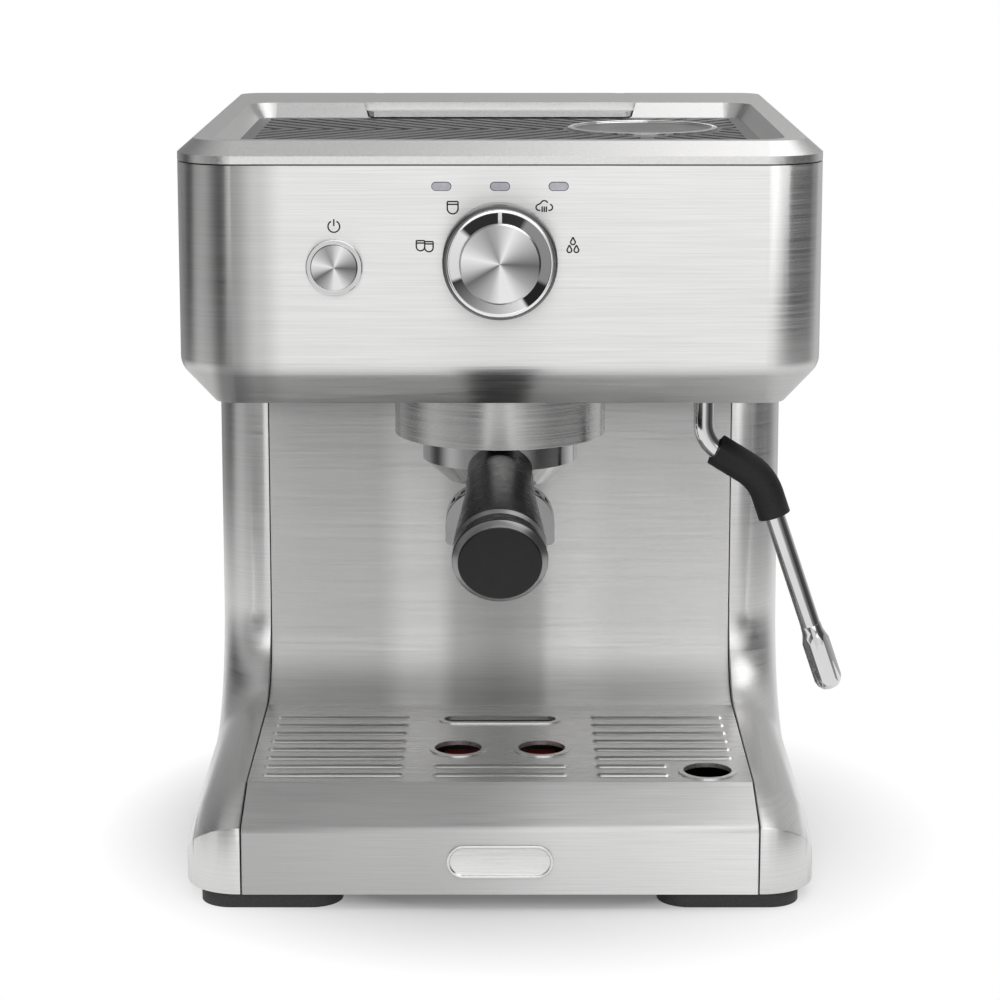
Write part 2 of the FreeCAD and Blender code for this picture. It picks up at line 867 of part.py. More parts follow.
def water_tank():
    """Clear tank, open at the top, with the ears of the lid's hinge and the valve's seat."""
    side = tank_half_width
    corners = [(-side, tank_front, tank_corner), (side, tank_front, tank_corner),
               (side, tank_rear, tank_corner), (-side, tank_rear, tank_corner)]
    outside = prism(corners, level(tank_bottom), vector(0, 0, tank_top - tank_bottom))
    inner = side - tank_wall
    radius = tank_corner - tank_wall
    cavity_front = tank_front + tank_wall
    cavity_rear = tank_rear - tank_wall
    corners = [(-inner, cavity_front, radius), (inner, cavity_front, radius),
               (inner, cavity_rear, radius), (-inner, cavity_rear, radius)]
    floor = tank_bottom + tank_wall
    tank = outside.cut(prism(corners, level(floor), vector(0, 0, tank_top - floor)))
    for x in ear_starts():
        ear_rear = pivot_y + ear_radius
        root = block(x, x + ear_width, cavity_rear, ear_rear, tank_top - 2 * ear_radius, tank_top)
        ear = block(x, x + ear_width, pivot_y - ear_radius, ear_rear, tank_top, pivot_z)
        ear = ear.fuse([root, crossbar(ear_radius, x, x + ear_width, pivot_y, pivot_z)])
        tank = tank.fuse(ear.cut(crossbar(pivot_pin_radius, x, x + ear_width, pivot_y, pivot_z)))
    tank = tank.cut(post(valve_stem + running_gap, tank_bottom, floor, valve_x, valve_y))
    for index in range(valve_drain_count):
        angle = 2 * math.pi * index / valve_drain_count
        x = valve_x + valve_drain_ring * math.cos(angle)
        y = valve_y + valve_drain_ring * math.sin(angle)
        tank = tank.cut(post(valve_drain, tank_bottom, floor, x, y))
    nodes["water_tank"] = tank.removeSplitter()


def tank_valve():
    """Poppet that shuts the tank's outlet once the tank is lifted off its socket."""
    floor = tank_bottom + tank_wall
    disc_bottom = floor + valve_lift + moving_gap
    disc = post(valve_disc, disc_bottom, disc_bottom + valve_disc_height, valve_x, valve_y)
    stem = post(valve_stem, tank_bottom + seat_gap, disc_bottom, valve_x, valve_y)
    nodes["tank_valve"] = disc.fuse(stem).removeSplitter()


def ear_starts():
    """Left ends of the two hinge ears."""
    return (-ear_x - ear_width, ear_x)


def tank_lid(form):
    """Lid of the water tank: the back of the machine's top, with a finger tab over the cup shelf."""
    plate = block(-half_width, half_width, lid_front, pivot_y, lid_bottom, frame_ridge)
    nose = crossbar(lid_nose_radius, -half_width, half_width, pivot_y, pivot_z)
    nose = nose.common(block(-half_width, half_width, pivot_y, body_depth, lid_bottom, frame_ridge))
    lid = form.common(plate.fuse(nose))
    tab_front = lid_front - lid_tab_reach
    corners = [(-lid_tab_half, tab_front, 0), (lid_tab_half, tab_front, 0),
               (lid_tab_half + lid_tab_slant, lid_front, 0), (-lid_tab_half - lid_tab_slant, lid_front, 0)]
    tab = prism(corners, level(lid_bottom - lid_tab_drop + seat_gap), vector(0, 0, lid_tab_thickness))
    lid = lid.fuse(tab)
    pins = []
    for x in ear_starts():
        notch = block(x - moving_gap, x + ear_width + moving_gap, pivot_y - ear_radius - moving_gap,
                      body_depth, lid_bottom, frame_ridge)
        lid = lid.cut(notch)
        start = x - pivot_pin_overlap
        end = x + ear_width + pivot_pin_overlap
        lid = lid.cut(crossbar(pivot_pin_radius + running_gap, start, end, pivot_y, pivot_z))
        pins.append(crossbar(pivot_pin_radius, start + seat_gap, end - seat_gap, pivot_y, pivot_z))
    nodes["tank_lid"] = lid.removeSplitter()
    nodes["lid_hinge_pins"] = Part.makeCompound(pins)


def drip_tray():
    """Pan under the drip grille, with the post that guides its float."""
    side = bay_half - tray_side_gap
    front = tray_front_sheet + moving_gap
    rear = deck_rear - tray_rear_gap
    bottom = pan_top + moving_gap
    top = deck_height - grille_thickness - moving_gap
    pan = block(-side, side, front, rear, bottom, top)
    floor = bottom + tray_wall
    pan = pan.cut(block(-side + tray_wall, side - tray_wall, front + tray_wall, rear - tray_wall, floor, top))
    crease, lip_end = lip_points(tray_front_sheet + moving_gap)
    above_lip = [(crease[0], crease[1], 0), (lip_end[0], lip_end[1], 0), (lip_end[0], deck_height, 0),
                 (crease[0], deck_height, 0)]
    pan = pan.cut(prism(above_lip, side_on(-side), vector(2 * side, 0, 0)))
    guide = post(float_post_radius, floor, float_plate_bottom(), 0, float_centre())
    nodes["drip_tray"] = pan.fuse(guide).removeSplitter()


def tray_front():
    """Bent steel front of the drip tray: upright face, crease and sloping lip."""
    sheet = tray_front_sheet
    crease, lip_end = lip_points(sheet)
    outer_crease, outer_end = lip_points(0)
    corners = [(0, foot_height, 0), (outer_crease[0], outer_crease[1], tray_crease_radius),
               (outer_end[0], outer_end[1], 0), (lip_end[0], lip_end[1], 0),
               (crease[0], crease[1], tray_crease_radius - sheet), (sheet, foot_height, 0)]
    nodes["tray_front"] = prism(corners, side_on(-tray_half), vector(2 * tray_half, 0, 0))
    badge = pill(badge_length, badge_height, front_on(-badge_thickness), vector(0, badge_thickness, 0))
    nodes["front_badge"] = badge.translated(vector(0, 0, badge_centre))


def rib(x0, x1, y):
    """Raised bar with round ends on the drip grille."""
    z = deck_height + rib_rise - rib_radius
    bar = crossbar(rib_radius, x0, x1, y, z)
    ends = [Part.makeSphere(rib_radius, vector(x, y, z)) for x in (x0, x1)]
    above = block(-body_width, body_width, 0, body_depth, deck_height - grille_thickness / 2, head_top)
    return bar.fuse(ends).common(above)


def drip_grille():
    """Lift-out steel grille with raised ribs and drain holes."""
    bottom = deck_height - grille_thickness
    plate = block(-tray_half, tray_half, lip_depth + moving_gap, deck_rear - moving_gap, bottom, deck_height)
    ribs = []
    for row in range(rib_rows):
        y = first_rib + row * rib_pitch
        ribs.append(rib(-side_rib_outer, -side_rib_inner, y))
        outer = short_rib_outer if row < short_rib_count else side_rib_outer
        ribs.append(rib(side_rib_inner, outer, y))
    for row in range(centre_rib_count):
        ribs.append(rib(-centre_rib_half, centre_rib_half, first_rib + row * rib_pitch))
    holes = []
    rims = []
    for x, y in ((-drain_x, drain_y), (drain_x, drain_y), (corner_drain_x, corner_drain_y)):
        holes.append(post(drain_radius, bottom, deck_height + drain_rim_rise, x, y))
        rims.append(post(drain_radius + drain_rim, deck_height, deck_height + drain_rim_rise, x, y))
    slot = pill(drain_slot_length, drain_slot_width, level(bottom), vector(0, 0, 2 * grille_thickness))
    holes.append(slot.translated(vector(0, drain_slot_y, 0)))
    rim = pill(drain_slot_length + 2 * drain_rim, drain_slot_width + 2 * drain_rim, level(deck_height),
               vector(0, 0, drain_rim_rise))
    rims.append(rim.translated(vector(0, drain_slot_y, 0)))
    nodes["drip_grille"] = plate.fuse(ribs + rims).cut(holes).removeSplitter()


def float_centre():
    return (float_front + float_rear) / 2


def float_plate_bottom():
    top = deck_height - grille_thickness - moving_gap - float_travel
    return top - float_plate


def tray_float():
    """Red float that rises as the tray fills; it slides on the tray's post."""
    bottom = pan_top + moving_gap + tray_wall + moving_gap
    plate_bottom = float_plate_bottom()
    y = float_centre()
    plate = block(-float_half_width, float_half_width, float_front, float_rear,
                  plate_bottom + moving_gap, plate_bottom + float_plate)
    stem = post(float_post_radius + float_wall, bottom, plate_bottom + moving_gap, 0, y)
    bore = post(float_post_radius + running_gap, bottom, plate_bottom + moving_gap, 0, y)
    lobes = [post(float_wall, bottom, plate_bottom + moving_gap, x, y) for x in (-drain_x, drain_x)]
    nodes["tray_float"] = plate.fuse([stem] + lobes).cut(bore).removeSplitter()


def ring(outer, inner, z0, z1):
    """Ring round the group's axis."""
    return post(outer, z0, z1, 0, group_y).cut(post(inner, z0, z1, 0, group_y))


def sector(radius, angle, middle, z0, z1):
    """Slice of a disc round the group's axis, centred on an angle from +X."""
    slice_ = Part.makeCylinder(radius, z1 - z0, vector(0, group_y, z0), vector(0, 0, 1), angle)
    slice_.rotate(vector(0, group_y, 0), vector(0, 0, 1), middle - angle / 2)
    return slice_


def group_head():
    """Collar with the bayonet's ledge and entry gaps, the gasket, block, screen and screw."""
    lip_top = collar_bottom + collar_lip
    groove_top = lug_bottom + lug_height + moving_gap
    collar = post(collar_radius, collar_bottom, collar_top, 0, group_y)
    cuts = [post(neck_radius + neck_gap, collar_bottom, lip_top, 0, group_y),
            post(groove_radius, lip_top, groove_top, 0, group_y),
            post(gasket_outer, groove_top, gasket_top, 0, group_y),
            post(screen_screw_radius, gasket_top, collar_top, 0, group_y)]
    for side in (0, 180):
        cuts.append(sector(groove_radius, entry_angle, side - lock_turn, collar_bottom, lip_top))
    nodes["group_collar"] = collar.cut(cuts).removeSplitter()
    nodes["group_gasket"] = ring(gasket_outer, gasket_inner, gasket_bottom, gasket_top)
    block_bottom = gasket_top - block_height
    nodes["dispersion_block"] = ring(block_radius, screen_screw_radius, block_bottom, gasket_top)
    screen_bottom = block_bottom - screen_thickness
    nodes["shower_screen"] = ring(screen_radius, screen_screw_radius, screen_bottom, block_bottom)
    head = post(screen_screw_head, screen_bottom - screen_screw_head_height, screen_bottom, 0, group_y)
    shank = post(screen_screw_radius, screen_bottom, collar_top, 0, group_y)
    nodes["screen_screw"] = head.fuse(shank).removeSplitter()


def handle_line(share):
    """Point on the handle's centre line, from the root (0) to the tip (1)."""
    y = handle_root_y + share * (handle_tip_y - handle_root_y)
    z = handle_root_z + share * (handle_tip_z - handle_root_z)
    return vector(0, y, z)


def handle_direction():
    direction = handle_line(1) - handle_line(0)
    direction.normalize()
    return direction


def oval(share, width, height):
    """Oval section of the handle, square to its line."""
    ellipse = Part.Ellipse(vector(0, 0, 0), width / 2, height / 2).toShape()
    upright = FreeCAD.Rotation(vector(1, 0, 0), vector(0, 0, 0), handle_direction(), "ZXY")
    ellipse.Placement = FreeCAD.Placement(handle_line(share), upright)
    return Part.Wire(ellipse)


def filter_holder():
    """Portafilter: bowl, ring, neck with bayonet lugs, basket, twin spout and drooping handle."""
    bowl = Part.makeCone(holder_bowl_base, holder_ring_radius, holder_bowl_drop,
                         vector(0, group_y, bowl_bottom))
    ring_top = collar_bottom - moving_gap
    body = bowl.fuse([post(holder_ring_radius, bowl_top, ring_top, 0, group_y),
                      post(neck_radius, ring_top, holder_top, 0, group_y)])
    lugs = [sector(neck_radius + lug_reach, lug_angle, side, lug_bottom, holder_top) for side in (0, 180)]
    arm_start = vector(0, group_y, handle_root_z)
    arm_run = handle_line(0) - arm_start + handle_direction() * handle_arm_depth
    arm = Part.makeCylinder(handle_arm_radius, arm_run.Length, arm_start, arm_run)
    body = body.fuse(lugs + [arm])
    cavity_floor = basket_top - basket_depth - seam_gap
    cavity = post(basket_radius + seam_gap, cavity_floor, holder_top, 0, group_y)
    funnel_bottom = bowl_bottom + holder_floor
    funnel = Part.makeCone(holder_outlet, basket_radius - holder_floor, cavity_floor - funnel_bottom,
                           vector(0, group_y, funnel_bottom))
    outlet = post(holder_outlet, bowl_bottom, funnel_bottom, 0, group_y)
    nodes["portafilter_body"] = body.cut([cavity, funnel, outlet]).removeSplitter()
    filter_basket()
    portafilter_spout()
    portafilter_handle(arm)


def filter_basket():
    bottom = basket_top - basket_depth
    inner = basket_radius - basket_wall
    basket = post(basket_radius, bottom, holder_top, 0, group_y)
    basket = basket.fuse(post(basket_rim_radius, holder_top, basket_top, 0, group_y))
    basket = basket.cut(post(inner, bottom + basket_wall, basket_top, 0, group_y))
    holes = []
    for row in range(1, basket_hole_rings + 1):
        reach = row * inner / (basket_hole_rings + 1)
        count = basket_holes_per_ring * row
        for index in range(count):
            angle = 2 * math.pi * index / count
            x = reach * math.cos(angle)
            y = group_y + reach * math.sin(angle)
            holes.append(post(basket_hole, bottom, bottom + basket_wall, x, y))
    nodes["filter_basket"] = basket.cut(holes).removeSplitter()


def portafilter_spout():
    """Twin spout: an arch under the bowl with a channel down each leg."""
    half = spout_width / 2
    front = group_y - spout_depth / 2
    arch = spout_arch_half
    leg = (half + arch) / 2
    corners = [(-half, spout_bottom, spout_edge), (-half, spout_shoulder, spout_shoulder_radius),
               (half, spout_shoulder, spout_shoulder_radius), (half, spout_bottom, spout_edge),
               (arch, spout_bottom, spout_edge), (arch, spout_arch_top, spout_arch_radius),
               (-arch, spout_arch_top, spout_arch_radius), (-arch, spout_bottom, spout_edge)]
    spout = prism(corners, front_on(front), vector(0, spout_depth, 0))
    spout = spout.fuse(post(spout_depth / 2, spout_shoulder - spout_edge, bowl_bottom, 0, group_y))
    channel = (spout_arch_top + spout_shoulder) / 2
    legs = [post(spout_bore, spout_bottom, channel, x, group_y) for x in (-leg, leg)]
    across = crossbar(spout_cross_bore, -leg, leg, group_y, channel)
    drop = post(spout_bore, channel, bowl_bottom, 0, group_y)
    nodes["portafilter_spout"] = spout.cut(legs + [across, drop]).removeSplitter()


def portafilter_handle(arm):
    root = oval(0, handle_root_width, handle_root_height)
    waist = oval(handle_waist_share, handle_waist_width, handle_waist_height)
    swell = oval(handle_swell_share, handle_tip_width * handle_swell, handle_tip_height * handle_swell)
    tip = oval(1, handle_tip_width, handle_tip_height)
    grip = Part.makeLoft([root, waist, swell, tip], True)
    nodes["portafilter_handle"] = grip.cut(arm)
    length = (handle_line(1) - handle_line(0)).Length
    cap_share = 1 + end_cap_thickness / length
    cap_end = oval(cap_share, handle_tip_width * end_cap_taper, handle_tip_height * end_cap_taper)
    nodes["handle_end_cap"] = Part.makeLoft([tip, cap_end], True)


def wand_corners():
    """Centre line of the wand's tube, from its socket to its nozzle."""
    return [(wand_x, wand_top, 0), (wand_x, wand_elbow_z, wand_elbow_radius),
            (wand_knee_x, wand_knee_z, wand_knee_radius), (wand_nozzle_x, wand_nozzle_z, 0)]


def steam_wand():
    line = wand_corners()
    place = front_on(wand_y)
    pipe = tube([(place(x, z), bend) for x, z, bend in line], wand_radius)
    elbow, knee, end = line[1], line[2], line[3]
    start_share = (grip_start_x - elbow[0]) / (knee[0] - elbow[0])
    start = place(grip_start_x, elbow[1] + start_share * (knee[1] - elbow[1]))
    end_share = (grip_end_x - knee[0]) / (end[0] - knee[0])
    finish = place(grip_end_x, knee[1] + end_share * (end[1] - knee[1]))
    sleeve = tube([(start, 0), (place(knee[0], knee[1]), knee[2]), (finish, 0)], grip_radius)
    nodes["wand_grip"] = sleeve.cut(pipe)
    nodes["wand_tube"] = pipe
    top = vector(end[0], wand_y, end[1])
    direction = vector(end[0] - knee[0], 0, end[1] - knee[1])
    direction.normalize()
    straight = nozzle_length - nozzle_taper
    barrel = Part.makeCylinder(nozzle_radius, straight, top, direction)
    tip = Part.makeCone(nozzle_radius, nozzle_tip_radius, nozzle_taper, top + direction * straight, direction)
    hole = Part.makeCylinder(nozzle_hole, nozzle_length, top, direction)
    nodes["wand_nozzle"] = barrel.fuse(tip).cut(hole).removeSplitter()


def wand_socket():
    """Nut and sleeve in the head's underside that the wand swivels in."""
    socket = post(wand_nut_radius, head_bottom - wand_nut_drop, head_bottom, wand_x, wand_y)
    socket = socket.fuse(post(wand_sleeve_radius, head_bottom, wand_top, wand_x, wand_y))
    cap = post(wand_sleeve_radius, wand_top + moving_gap, wand_top + moulding, wand_x, wand_y)
    sleeve = post(wand_sleeve_radius, wand_top, wand_top + moving_gap, wand_x, wand_y)
    bore = post(wand_radius + running_gap, 0, wand_top + moving_gap, wand_x, wand_y)
    nodes["wand_socket"] = socket.fuse([sleeve, cap]).cut(bore).removeSplitter()


def mode_dial():
    """Dial with a shaft into its switch, a turned cap and a pointer line at the top."""
    rear = head_front - moving_gap
    front = rear - dial_reach
    body = spindle(dial_radius, front + dial_edge, rear, 0, dial_z)
    body = body.fuse(Part.makeCone(dial_radius - dial_edge, dial_radius, dial_edge,
                                   vector(0, front, dial_z), vector(0, 1, 0)))
    body = body.fuse(spindle(dial_shaft_radius, rear, rear + dial_shaft_depth, 0, dial_z))
    nodes["dial_body"] = body.removeSplitter()
    nodes["dial_cap"] = spindle(dial_cap_radius, front - dial_cap_reach, front, 0, dial_z)
    half = pointer_width / 2
    nodes["dial_pointer"] = block(-half, half, front - pointer_height, front,
                                  dial_z + dial_cap_radius + half, dial_z + dial_radius - dial_edge - half)


def dial_switch():
    """Rotary switch on the control board, with the bore for the dial's shaft."""
    half = dial_switch_size / 2
    front = front_inside + dial_switch_gap
    body = block(-half, half, front, board_y, dial_z - half, dial_z + half)
    depth = head_front - moving_gap + dial_shaft_depth + moving_gap
    nodes["dial_switch"] = body.cut(spindle(dial_shaft_radius + running_gap, front, depth, 0, dial_z))


def power_button():
    """Push button in a chrome bezel whose sleeve passes through the front."""
    front = head_front - button_proud
    rear = head_front + button_depth
    button = spindle(button_radius, front, rear, button_x, button_z)
    button = button.fuse(spindle(button_stem_radius, rear, button_stem_end, button_x, button_z))
    nodes["power_button"] = button.removeSplitter()
    bezel = spindle(bezel_radius, head_front - bezel_reach, head_front, button_x, button_z)
    sleeve_rear = front_inside + bezel_sleeve_depth
    bezel = bezel.fuse(spindle(bezel_radius - bezel_sleeve, head_front, sleeve_rear, button_x, button_z))
    bore = spindle(button_radius + running_gap, 0, sleeve_rear, button_x, button_z)
    nodes["power_bezel"] = bezel.cut(bore).removeSplitter()
    half = power_switch_size / 2
    nodes["power_switch"] = block(button_x - half, button_x + half, board_y - power_switch_depth, board_y,
                                  button_z - half, button_z + half)


def control_board():
    """Circuit board behind the front, on four posts, with the light pipes of the three lamps."""
    nodes["control_board"] = block(board_left, board_right, board_y, board_y + board_thickness,
                                   board_bottom, board_top)
    posts = []
    for x in (board_left + board_post_inset, board_right - board_post_inset):
        for z in (board_bottom + board_post_inset, board_top - board_post_inset):
            posts.append(spindle(board_post_radius, front_inside, board_y, x, z))
    nodes["board_posts"] = Part.makeCompound(posts)
    lenses = [lens_form(x, lens_length, lens_height, board_y) for x in lens_centres()]
    nodes["indicator_lenses"] = Part.makeCompound(lenses)


def boiler():
    """Heating chamber bolted on the group, with its thermostat and the steam valve beside it."""
    flange_top = collar_top + boiler_flange_height
    top = collar_top + boiler_height
    chamber = post(boiler_radius, flange_top, top, 0, group_y)
    nodes["boiler"] = chamber.fuse(post(boiler_flange, collar_top, flange_top, 0, group_y)).removeSplitter()
    nodes["thermostat"] = post(thermostat_radius, top, top + thermostat_height, 0, group_y)
    half = valve_block_width / 2
    x0 = boiler_radius
    block_top = valve_block_base + valve_block_height
    body = block(0, x0 + valve_block_width, group_y - half, group_y + half, valve_block_base, block_top)
    body = body.cut(post(boiler_radius, 0, head_top, 0, group_y))
    coil = post(valve_coil_radius, block_top, block_top + valve_coil_height, x0 + half, group_y)
    nodes["steam_valve"] = body.fuse(coil).removeSplitter()


def steam_pipe():
    """Pipe from the steam valve to the wand's socket."""
    z = valve_block_base + valve_block_height / 2
    start = vector(boiler_radius + valve_block_width, wand_y, z)
    end = vector(wand_x, wand_y, wand_top + moulding)
    nodes["steam_pipe"] = tube([(start, 0), (vector(wand_x, wand_y, z), hose_bend), (end, 0)], hose_radius)


def pump():
    """Vibration pump on its two rubber saddles under the tank's bay."""
    half = pump_length / 2
    body = crossbar(pump_radius, pump_x - half, pump_x + half, pump_y, pump_z)
    reach = pump_coil / 2
    coil = block(pump_x - pump_coil_length / 2, pump_x + pump_coil_length / 2, pump_y - reach, pump_y + reach,
                 pump_z - reach, pump_z + reach)
    nodes["pump"] = body.fuse(coil).removeSplitter()
    saddles = []
    for x in (pump_x - mount_offset, pump_x + mount_offset):
        saddle = block(x - mount_thickness / 2, x + mount_thickness / 2, pump_y - mount_depth / 2,
                       pump_y + mount_depth / 2, pan_top, pump_z)
        saddles.append(saddle.cut(body))
    nodes["pump_mounts"] = Part.makeCompound(saddles)


def hoses():
    """Suction hose from the tank's socket to the pump, and pressure hose up the column to the boiler."""
    spigot_bottom = bay_floor - socket_depth - socket_spigot_length
    suction = [(vector(valve_x, valve_y, spigot_bottom), 0), (vector(valve_x, pump_y, pump_z), hose_bend),
               (vector(pump_x + pump_length / 2, pump_y, pump_z), 0)]
    nodes["suction_hose"] = tube(suction, hose_radius)
    pressure = [(vector(pump_x - pump_length / 2, pump_y, pump_z), 0),
                (vector(riser_x, pump_y, pump_z), hose_bend),
                (vector(riser_x, riser_y, pump_z), hose_bend),
                (vector(riser_x, riser_y, boiler_inlet_z), hose_bend),
                (vector(0, riser_y, boiler_inlet_z), hose_bend),
                (vector(0, group_y + boiler_radius, boiler_inlet_z), 0)]
    nodes["pressure_hose"] = tube(pressure, hose_radius)


def build():
    cheek_form = side_panels()
    liners()
    base_pan()
    feet_and_screws()
    backsplash()
    head_shell(cheek_form)
    head_underplate()
    form = top_form()
    top_frame(form)
    cup_grille()
    rear_panel()
    cord_gland()
    tank_bay()
    tank_socket()
    water_tank()
    tank_valve()
    tank_lid(form)
    drip_tray()
    tray_front()
    drip_grille()
    tray_float()
    group_head()
    filter_holder()
    steam_wand()
    wand_socket()
    mode_dial()
    dial_switch()
    power_button()
    control_board()
    boiler()
    steam_pipe()
    pump()
    hoses()


def to_base_centre():
    """Move that puts the origin under the middle of the whole machine, on the table."""
    box = Part.makeCompound(list(nodes.values())).optimalBoundingBox(False, False)
    return vector(-box.Center.x, -box.Center.y, -box.ZMin)


build()
move = to_base_centre()
os.makedirs("parts", exist_ok=True)
for name, shape in nodes.items():
    shape.translated(move).exportStep("parts/" + name + ".step")
print(len(nodes), "nodes, moved by", move)
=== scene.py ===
import json
import math

import bpy
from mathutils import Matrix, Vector


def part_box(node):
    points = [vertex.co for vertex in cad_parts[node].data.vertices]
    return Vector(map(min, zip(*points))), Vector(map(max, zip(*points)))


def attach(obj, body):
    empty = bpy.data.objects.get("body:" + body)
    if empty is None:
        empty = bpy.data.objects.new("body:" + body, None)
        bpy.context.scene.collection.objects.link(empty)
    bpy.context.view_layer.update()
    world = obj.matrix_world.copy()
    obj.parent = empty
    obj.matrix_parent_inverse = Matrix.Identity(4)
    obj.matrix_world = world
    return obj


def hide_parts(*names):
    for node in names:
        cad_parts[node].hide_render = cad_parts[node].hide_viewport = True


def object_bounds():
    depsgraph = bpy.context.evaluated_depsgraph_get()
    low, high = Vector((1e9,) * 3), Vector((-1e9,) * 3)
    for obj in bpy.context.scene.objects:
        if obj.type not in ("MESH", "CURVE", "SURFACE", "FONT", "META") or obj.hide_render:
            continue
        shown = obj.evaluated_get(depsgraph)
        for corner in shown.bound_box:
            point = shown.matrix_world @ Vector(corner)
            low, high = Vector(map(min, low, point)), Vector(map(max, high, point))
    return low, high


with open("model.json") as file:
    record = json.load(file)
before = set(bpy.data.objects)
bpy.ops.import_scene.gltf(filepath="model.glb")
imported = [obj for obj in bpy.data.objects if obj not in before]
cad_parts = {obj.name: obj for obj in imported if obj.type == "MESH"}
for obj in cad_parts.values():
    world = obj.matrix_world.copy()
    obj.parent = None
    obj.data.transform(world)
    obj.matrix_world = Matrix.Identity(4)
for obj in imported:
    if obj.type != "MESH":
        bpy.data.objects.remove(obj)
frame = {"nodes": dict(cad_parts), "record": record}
cadLow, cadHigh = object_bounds()
mm = 0.001

# the middle of the body and the front of its base, in the frame's metres
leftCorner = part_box("left_side_panel")[0]
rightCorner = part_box("right_side_panel")[1]
bodyX = (leftCorner.x + rightCorner.x) / 2
bodyY = leftCorner.y


def place(x, y, z):
    # millimetres from the body's middle, behind its front face and above the table
    return Vector((bodyX + x * mm, bodyY + y * mm, z * mm))


print("stage: materials")


def newMaterial(name, color, metallic=0.0, roughness=0.5):
    mat = bpy.data.materials.new(name)
    mat.use_nodes = True
    shader = mat.node_tree.nodes["Principled BSDF"]
    shader.inputs["Base Color"].default_value = (*color, 1)
    shader.inputs["Metallic"].default_value = metallic
    shader.inputs["Roughness"].default_value = roughness
    return mat


def addNode(owner, kind, **values):
    # the owner is a material or the world
    node = owner.node_tree.nodes.new(kind)
    for key, value in values.items():
        setattr(node, key, value)
    return node


def join(owner, source, target):
    owner.node_tree.links.new(source, target)


def noiseAlong(mat, scale, detail=3.0):
    # noise in object coordinates, stretched by a scale per axis
    coords = addNode(mat, "ShaderNodeTexCoord")
    stretch = addNode(mat, "ShaderNodeMapping")
    stretch.inputs["Scale"].default_value = scale
    noise = addNode(mat, "ShaderNodeTexNoise")
    noise.inputs["Scale"].default_value = 1.0
    noise.inputs["Detail"].default_value = detail
    join(mat, coords.outputs["Object"], stretch.inputs["Vector"])
    join(mat, stretch.outputs["Vector"], noise.inputs["Vector"])
    return noise.outputs["Fac"]


noiseSpan = (0.3, 0.7)    # the part of the noise's range that carries a change


def vary(mat, fac, low, high, socket):
    # runs a texture's value between two levels of one of the shader's inputs
    shader = mat.node_tree.nodes["Principled BSDF"]
    ramp = addNode(mat, "ShaderNodeMapRange")
    ramp.inputs["From Min"].default_value = noiseSpan[0]
    ramp.inputs["From Max"].default_value = noiseSpan[1]
    ramp.inputs["To Min"].default_value = low
    ramp.inputs["To Max"].default_value = high
    join(mat, fac, ramp.inputs["Value"])
    join(mat, ramp.outputs["Result"], shader.inputs[socket])


def tint(mat, fac, dark, light):
    shader = mat.node_tree.nodes["Principled BSDF"]
    ramp = addNode(mat, "ShaderNodeValToRGB")
    ramp.color_ramp.elements[0].position = noiseSpan[0]
    ramp.color_ramp.elements[0].color = (*dark, 1)
    ramp.color_ramp.elements[1].position = noiseSpan[1]
    ramp.color_ramp.elements[1].color = (*light, 1)
    join(mat, fac, ramp.inputs["Fac"])
    join(mat, ramp.outputs["Color"], shader.inputs["Base Color"])


def roughen(mat, fac, strength, distance):
    shader = mat.node_tree.nodes["Principled BSDF"]
    bump = addNode(mat, "ShaderNodeBump")
    bump.inputs["Strength"].default_value = strength
    bump.inputs["Distance"].default_value = distance
    join(mat, fac, bump.inputs["Height"])
    join(mat, bump.outputs["Normal"], shader.inputs["Normal"])


def grey(level, warm=0.0):
    return (level + warm, level, level - warm)


def placeFrom(mat, centre):
    # object coordinates measured from a centre, split by axis
    coords = addNode(mat, "ShaderNodeTexCoord")
    shift = addNode(mat, "ShaderNodeVectorMath", operation="SUBTRACT")
    shift.inputs[1].default_value = centre
    parts = addNode(mat, "ShaderNodeSeparateXYZ")
    join(mat, coords.outputs["Object"], shift.inputs[0])
    join(mat, shift.outputs["Vector"], parts.inputs[0])
    return parts


def brushed(name, dark, light, scale, rough, bump, stretch=0.75, metal=1.0, axis=None):
    # brushed straight across, or round an upright axis where one is given
    mat = newMaterial(name, grey(light), metal, rough)
    shader = mat.node_tree.nodes["Principled BSDF"]
    shader.inputs["Anisotropic"].default_value = stretch
    shader.inputs["Anisotropic Rotation"].default_value = 0.25
    lay = addNode(mat, "ShaderNodeCombineXYZ")
    lay.inputs["X"].default_value = 1.0
    if axis:
        parts = placeFrom(mat, axis)
        back = addNode(mat, "ShaderNodeMath", operation="MULTIPLY")
        back.inputs[1].default_value = -1
        join(mat, parts.outputs["Y"], back.inputs[0])
        join(mat, back.outputs["Value"], lay.inputs["X"])
        join(mat, parts.outputs["X"], lay.inputs["Y"])
    join(mat, lay.outputs["Vector"], shader.inputs["Tangent"])
    fine = noiseAlong(mat, scale)
    tint(mat, fine, grey(dark, 0.004), grey(light, 0.004))
    vary(mat, fine, rough - 0.05, rough + 0.07, "Roughness")
    roughen(mat, fine, bump, 0.05 * mm)
    return mat


def greyRamp(owner, stops, blend):
    # a ramp of greys from (place, level) stops, the first place at its start and the last at its end
    ramp = addNode(owner, "ShaderNodeValToRGB")
    ramp.color_ramp.interpolation = blend
    marks = ramp.color_ramp.elements
    while len(marks) < len(stops):
        marks.new(0.5)
    first = stops[0][0]
    span = stops[-1][0] - first
    for mark, (at, level) in zip(marks, stops):
        mark.position = (at - first) / span
        mark.color = (*grey(level), 1)
    return ramp


